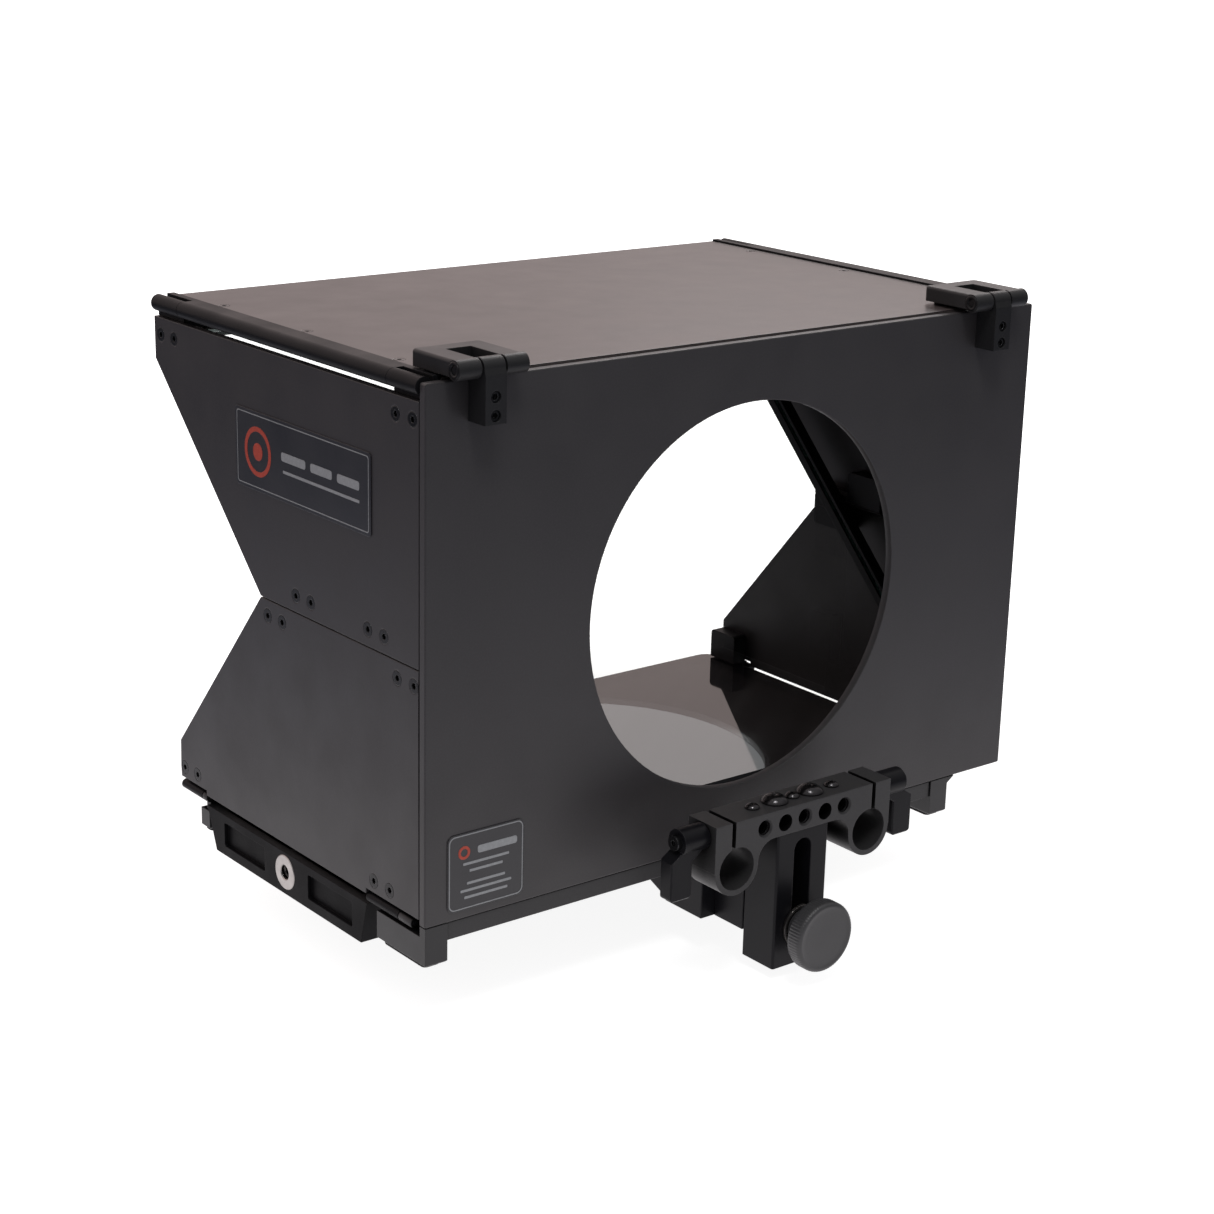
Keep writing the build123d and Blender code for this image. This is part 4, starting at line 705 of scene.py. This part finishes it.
side_place, side_size = label_place("side_label", (-1, 0, 0), (0, -1, 0))
width, height = side_size.y, side_size.z
side_bars = [band(
    rounded_outline(width - 2.2 * MM, height - 2.2 * MM, 1.2 * MM),
    rounded_outline(width - 2.9 * MM, height - 2.9 * MM, 0.9 * MM),
    PRINT_HEIGHT, side_place,
)]
for x, bar_width in ((-4.5, 15.0), (12.5, 13.0), (28.5, 13.0)):
    side_bars.append(bar(bar_width * MM, 3.0 * MM, side_place, (x * MM, 1.6 * MM)))
side_bars.append(bar(46.0 * MM, 1.0 * MM, side_place, (12.0 * MM, -3.4 * MM)))
piece("side_label_print", side_bars, "upper_wall_left", "print_grey")
mark_at = (-27.0 * MM, 0.0)
ring_outer = rounded_outline(17.0 * MM, 17.0 * MM, 8.4 * MM, 8)
ring_inner = rounded_outline(13.6 * MM, 13.6 * MM, 6.7 * MM, 8)
dot = rounded_outline(6.0 * MM, 6.0 * MM, 2.9 * MM)
side_mark = [
    band(ring_outer, ring_inner, PRINT_HEIGHT, side_place, mark_at),
    slab(dot, PRINT_HEIGHT, side_place, mark_at),
]
piece("side_label_mark", side_mark, "upper_wall_left", "print_red")

panel_place, panel_size = label_place("panel_label", (0, -1, 0), (1, 0, 0))
width, height = panel_size.x, panel_size.z
panel_bars = [band(
    rounded_outline(width - 1.0 * MM, height - 1.0 * MM, 2.3 * MM),
    rounded_outline(width - 1.8 * MM, height - 1.8 * MM, 1.9 * MM),
    PRINT_HEIGHT, panel_place,
)]
panel_bars.append(bar(15.5 * MM, 2.6 * MM, panel_place, (4.4 * MM, 6.6 * MM)))
for y, bar_width in ((2.6, 18.0), (0.0, 13.0), (-4.2, 15.0), (-6.6, 20.0), (-9.0, 17.0)):
    panel_bars.append(bar(bar_width * MM, 0.9 * MM, panel_place, (0.0, y * MM)))
piece("panel_label_print", panel_bars, "housing", "print_grey")
small_ring = band(
    rounded_outline(4.6 * MM, 4.6 * MM, 2.25 * MM), rounded_outline(2.6 * MM, 2.6 * MM, 1.25 * MM),
    PRINT_HEIGHT, panel_place, (-8.6 * MM, 6.6 * MM),
)
piece("panel_label_mark", [small_ring], "housing", "print_red")

# ---- Rubber pads under the feet ---------------------------------------------
feet_low, feet_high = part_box("base_feet")
FRONT_PAD_Y = 14.0 * MM
REAR_PAD_Y = 143.05 * MM
pad_parts = []
for x, y, pad_width, pad_depth in (
    (feet_low.x + 4.3 * MM, FRONT_PAD_Y, 6.6, 24.0),
    (feet_high.x - 7.7 * MM, FRONT_PAD_Y, 6.6, 24.0),
    (feet_low.x + 4.8 * MM, REAR_PAD_Y, 5.6, 4.6),
    (feet_high.x - 7.7 * MM, REAR_PAD_Y, 6.6, 4.6),
):
    place = basis((x, y, feet_low.z), (0, 0, -1), (1, 0, 0))
    outline = rounded_outline(pad_width * MM, pad_depth * MM, 1.6 * MM)
    pad_parts.append(slab(outline, 1.2 * MM, place, bevel=0.3 * MM))
piece("foot_pads", pad_parts, "housing", "rubber")

# ---- Latches: bumper pads and retaining rings -------------------------------
# A retaining ring's section: radii as shares of the pin's, heights in millimetres from the yoke
CLIP_SECTION = (
    (1.02, -0.3), (1.75, -0.3), (1.85, -0.2), (1.85, 0.1), (1.7, 0.22), (1.1, 0.22), (1.02, 0.12),
)
for side in ("left", "right"):
    low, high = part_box(f"latch_yoke_{side}")
    middle_x = (low.x + high.x) / 2
    place = basis((middle_x, high.y - 4.0 * MM, low.z + 0.55 * MM), (0, 0, -1), (1, 0, 0))
    outline = rounded_outline(20.0 * MM, 4.0 * MM, 1.2 * MM)
    bumper = slab(outline, 0.95 * MM, place, bevel=0.2 * MM)
    piece(f"latch_bumper_{side}", [bumper], f"latch_{side}", "rubber")
    pin_low, pin_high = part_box(f"latch_pin_{side}")
    pin_y, pin_z = (pin_low.y + pin_high.y) / 2, (pin_low.z + pin_high.z) / 2
    pin_r = (pin_high.z - pin_low.z) / 2
    clip_profile = [(pin_r * k, h * MM) for k, h in CLIP_SECTION]
    rings = []
    for end_x, out in ((low.x, -1), (high.x, 1)):
        place = basis((end_x, pin_y, pin_z), (out, 0, 0), (0, 1, 0))
        rings.append(lathe(clip_profile, place, 48))
    piece(f"latch_clips_{side}", rings, f"latch_{side}", "dark_screws", smooth=True)

# ---- Monitor: ports, buttons and vents --------------------------------------
house_low, house_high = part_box("monitor_housing")
PORT_X = house_high.x - 1.9 * MM        # floor of the recess in the housing's end
PORT_Z = -99.75 * MM
SHELL_WALL = 0.35 * MM
shells, tongues = [], []
for y, port_width, port_height, corner, inner_corner in (
    (65.0, 14.4, 4.9, 0.4, 0.15),
    (87.0, 8.4, 3.0, 1.4, 1.1),
):
    place = basis((PORT_X, y * MM, PORT_Z), (1, 0, 0), (0, 1, 0))
    outer = rounded_outline(port_width * MM, port_height * MM, corner * MM)
    inner = rounded_outline(
        port_width * MM - 2 * SHELL_WALL, port_height * MM - 2 * SHELL_WALL, inner_corner * MM
    )
    shells.append(band(outer, inner, 1.75 * MM, place))
    tongue = rounded_outline((port_width - 2.6) * MM, 0.9 * MM, 0.3 * MM)
    tongues.append(slab(tongue, 1.3 * MM, place))
jack_place = basis((PORT_X, 104.0 * MM, PORT_Z), (1, 0, 0), (0, 1, 0))
jack_section = ((2.4, 0.0), (2.4, 1.6), (2.2, 1.75), (1.75, 1.75), (1.6, 1.6), (1.6, 0.0))
shells.append(lathe([(r * MM, h * MM) for r, h in jack_section], jack_place, 48))
piece("port_shells", shells, "housing", "bright_steel")
piece("port_tongues", tongues, "housing", "rubber")

button_parts = []
for k in range(4):
    place = basis(((60.0 - 11.0 * k) * MM, 45.0 * MM, house_low.z), (0, 0, -1), (1, 0, 0))
    outline = rounded_outline(7.0 * MM, 3.4 * MM, 1.6 * MM)
    button_parts.append(slab(outline, 0.7 * MM, place, bevel=0.25 * MM))
piece("monitor_buttons", button_parts, "housing", "rubber")

louvre_parts = []
for k in range(11):
    place = basis(((-96.0 + 6.0 * k) * MM, 88.0 * MM, house_low.z), (0, 0, -1), (1, 0, 0))
    outline = rounded_outline(2.4 * MM, 46.0 * MM, 1.1 * MM)
    louvre_parts.append(slab(outline, 0.5 * MM, place, bevel=0.2 * MM))
piece("monitor_louvres", louvre_parts, "housing", "monitor_plastic")

# ---- Floor, light and camera ------------------------------------------------
low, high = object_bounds()
middle = (low + high) / 2
joints = {joint["name"]: joint for joint in frame["record"]["behaviour"]["joints"]}
slide_down = joints["height_slide"]["range_m"][0]
# Clear of the knob at the slide's lowest setting
FLOOR_Z = min(low.z, knob_low.z + slide_down) - 0.6 * MM
FLOOR_REACH = 4.0           # metres from the object to each edge
floor_mesh = bpy.data.meshes.new("floor")
floor_mesh.from_pydata(
    [(middle.x + sx * FLOOR_REACH, middle.y + sy * FLOOR_REACH, FLOOR_Z)
     for sx, sy in ((-1, -1), (1, -1), (1, 1), (-1, 1))],
    [], [(0, 1, 2, 3)],
)
floor = bpy.data.objects.new("floor", floor_mesh)
bpy.context.scene.collection.objects.link(floor)


def floor_material():
    """Pale paper: it lights the object less, and cooler, the further away it lies."""
    made, tree, out = new_material("floor")
    paper = tree.nodes.new("ShaderNodeBsdfDiffuse")
    paper.inputs["Color"].default_value = (0.42, 0.42, 0.42, 1.0)
    glow = tree.nodes.new("ShaderNodeEmission")
    seen = tree.nodes.new("ShaderNodeAddShader")
    tree.links.new(paper.outputs[0], seen.inputs[0])
    tree.links.new(glow.outputs[0], seen.inputs[1])
    offset = tree.nodes.new("ShaderNodeVectorMath")
    offset.operation = "DISTANCE"
    offset.inputs[1].default_value = (middle.x, middle.y, low.z)
    tree.links.new(object_coords(tree), offset.inputs[0])
    distance = offset.outputs["Value"]
    # Distances in metres: the glow rises between 0.22 and 0.32, so the paper meets the backdrop
    whiten = remap(tree, distance, 0.9, 1.4, start=0.22, stop=0.32)
    tree.links.new(whiten, glow.inputs["Strength"])
    fade = remap(tree, distance, 1.0, 0.14, start=0.2, stop=0.72)
    bounce = tree.nodes.new("ShaderNodeEmission")
    tree.links.new(fade, bounce.inputs["Strength"])
    bounce_tint = mix_colour(tree, fade, (0.72, 0.76, 1.0), (1.0, 0.965, 0.985))
    tree.links.new(bounce_tint, bounce.inputs["Color"])
    to_camera = tree.nodes.new("ShaderNodeLightPath").outputs["Is Camera Ray"]
    whole = mix_shaders(tree, to_camera, bounce.outputs[0], seen.outputs[0])
    tree.links.new(whole, out.inputs["Surface"])
    return made


floor_mesh.materials.append(floor_material())


BACKDROP = 1.8              # strength seen by the camera; above 1 it stays white through the glass


def studio_world():
    """White backdrop; brightest and warmest behind the object, dimmer on the camera's side."""
    world = bpy.data.worlds.new("studio")
    bpy.context.scene.world = world
    world.use_nodes = True
    tree = world.node_tree
    tree.nodes.clear()
    out = tree.nodes.new("ShaderNodeOutputWorld")
    _, y, z = components(tree, tree.nodes.new("ShaderNodeTexCoord").outputs["Generated"])
    overhead = remap(tree, z, 0.0, 0.45, 0.15, 0.75)
    behind = remap(tree, y, 0.0, 0.56, -0.1, 0.65)
    total = arithmetic(tree, "ADD", arithmetic(tree, "ADD", overhead, behind), 0.15)
    warmth = remap(tree, y, 0.0, 1.0, -0.1, 0.5)
    tint = mix_colour(tree, warmth, (1.0, 0.985, 1.0), (1.0, 0.84, 0.82))
    soft = tree.nodes.new("ShaderNodeBackground")
    tree.links.new(total, soft.inputs["Strength"])
    tree.links.new(tint, soft.inputs["Color"])
    backdrop = tree.nodes.new("ShaderNodeBackground")
    backdrop.inputs["Strength"].default_value = BACKDROP
    to_camera = tree.nodes.new("ShaderNodeLightPath").outputs["Is Camera Ray"]
    whole = mix_shaders(tree, to_camera, soft.outputs[0], backdrop.outputs[0])
    tree.links.new(whole, out.inputs["Surface"])


studio_world()


def softbox(name, location, target, size, power):
    """A square area light that faces its target."""
    data = bpy.data.lights.new(name, "AREA")
    data.shape = "SQUARE"
    data.size = size
    data.energy = power
    lamp = bpy.data.objects.new(name, data)
    lamp.location = location
    lamp.rotation_mode = "QUATERNION"
    lamp.rotation_quaternion = (Vector(target) - Vector(location)).to_track_quat("-Z", "Y")
    bpy.context.scene.collection.objects.link(lamp)


softbox("key", (-0.3, -0.5, 1.1), middle, 0.32, 5.0)
softbox("rim", (0.7, 0.6, 0.8), middle, 0.5, 3.0)

# The photo's camera, solved from the object's corners and rod bores
CAMERA_AT = (-0.5288, -0.5879, 0.2389)
AZIMUTH, ELEVATION, ROLL = (math.radians(a) for a in (-38.52, 17.16, 1.39))
camera_data = bpy.data.cameras.new("camera")
camera_data.sensor_width = 36.0
camera_data.lens = 72.29
camera_data.clip_start = 0.01
camera = bpy.data.objects.new("camera", camera_data)
bpy.context.scene.collection.objects.link(camera)
back = Vector((
    math.sin(AZIMUTH) * math.cos(ELEVATION),
    -math.cos(AZIMUTH) * math.cos(ELEVATION),
    math.sin(ELEVATION),
))
level_right = Vector((0, 0, 1)).cross(back).normalized()
level_up = back.cross(level_right)
right = level_right * math.cos(ROLL) + level_up * math.sin(ROLL)
up = level_up * math.cos(ROLL) - level_right * math.sin(ROLL)
turned = Matrix((right, up, back)).transposed().to_4x4()
camera.matrix_world = Matrix.Translation(CAMERA_AT) @ turned
bpy.context.scene.camera = camera
bpy.context.scene.view_settings.view_transform = "Standard"
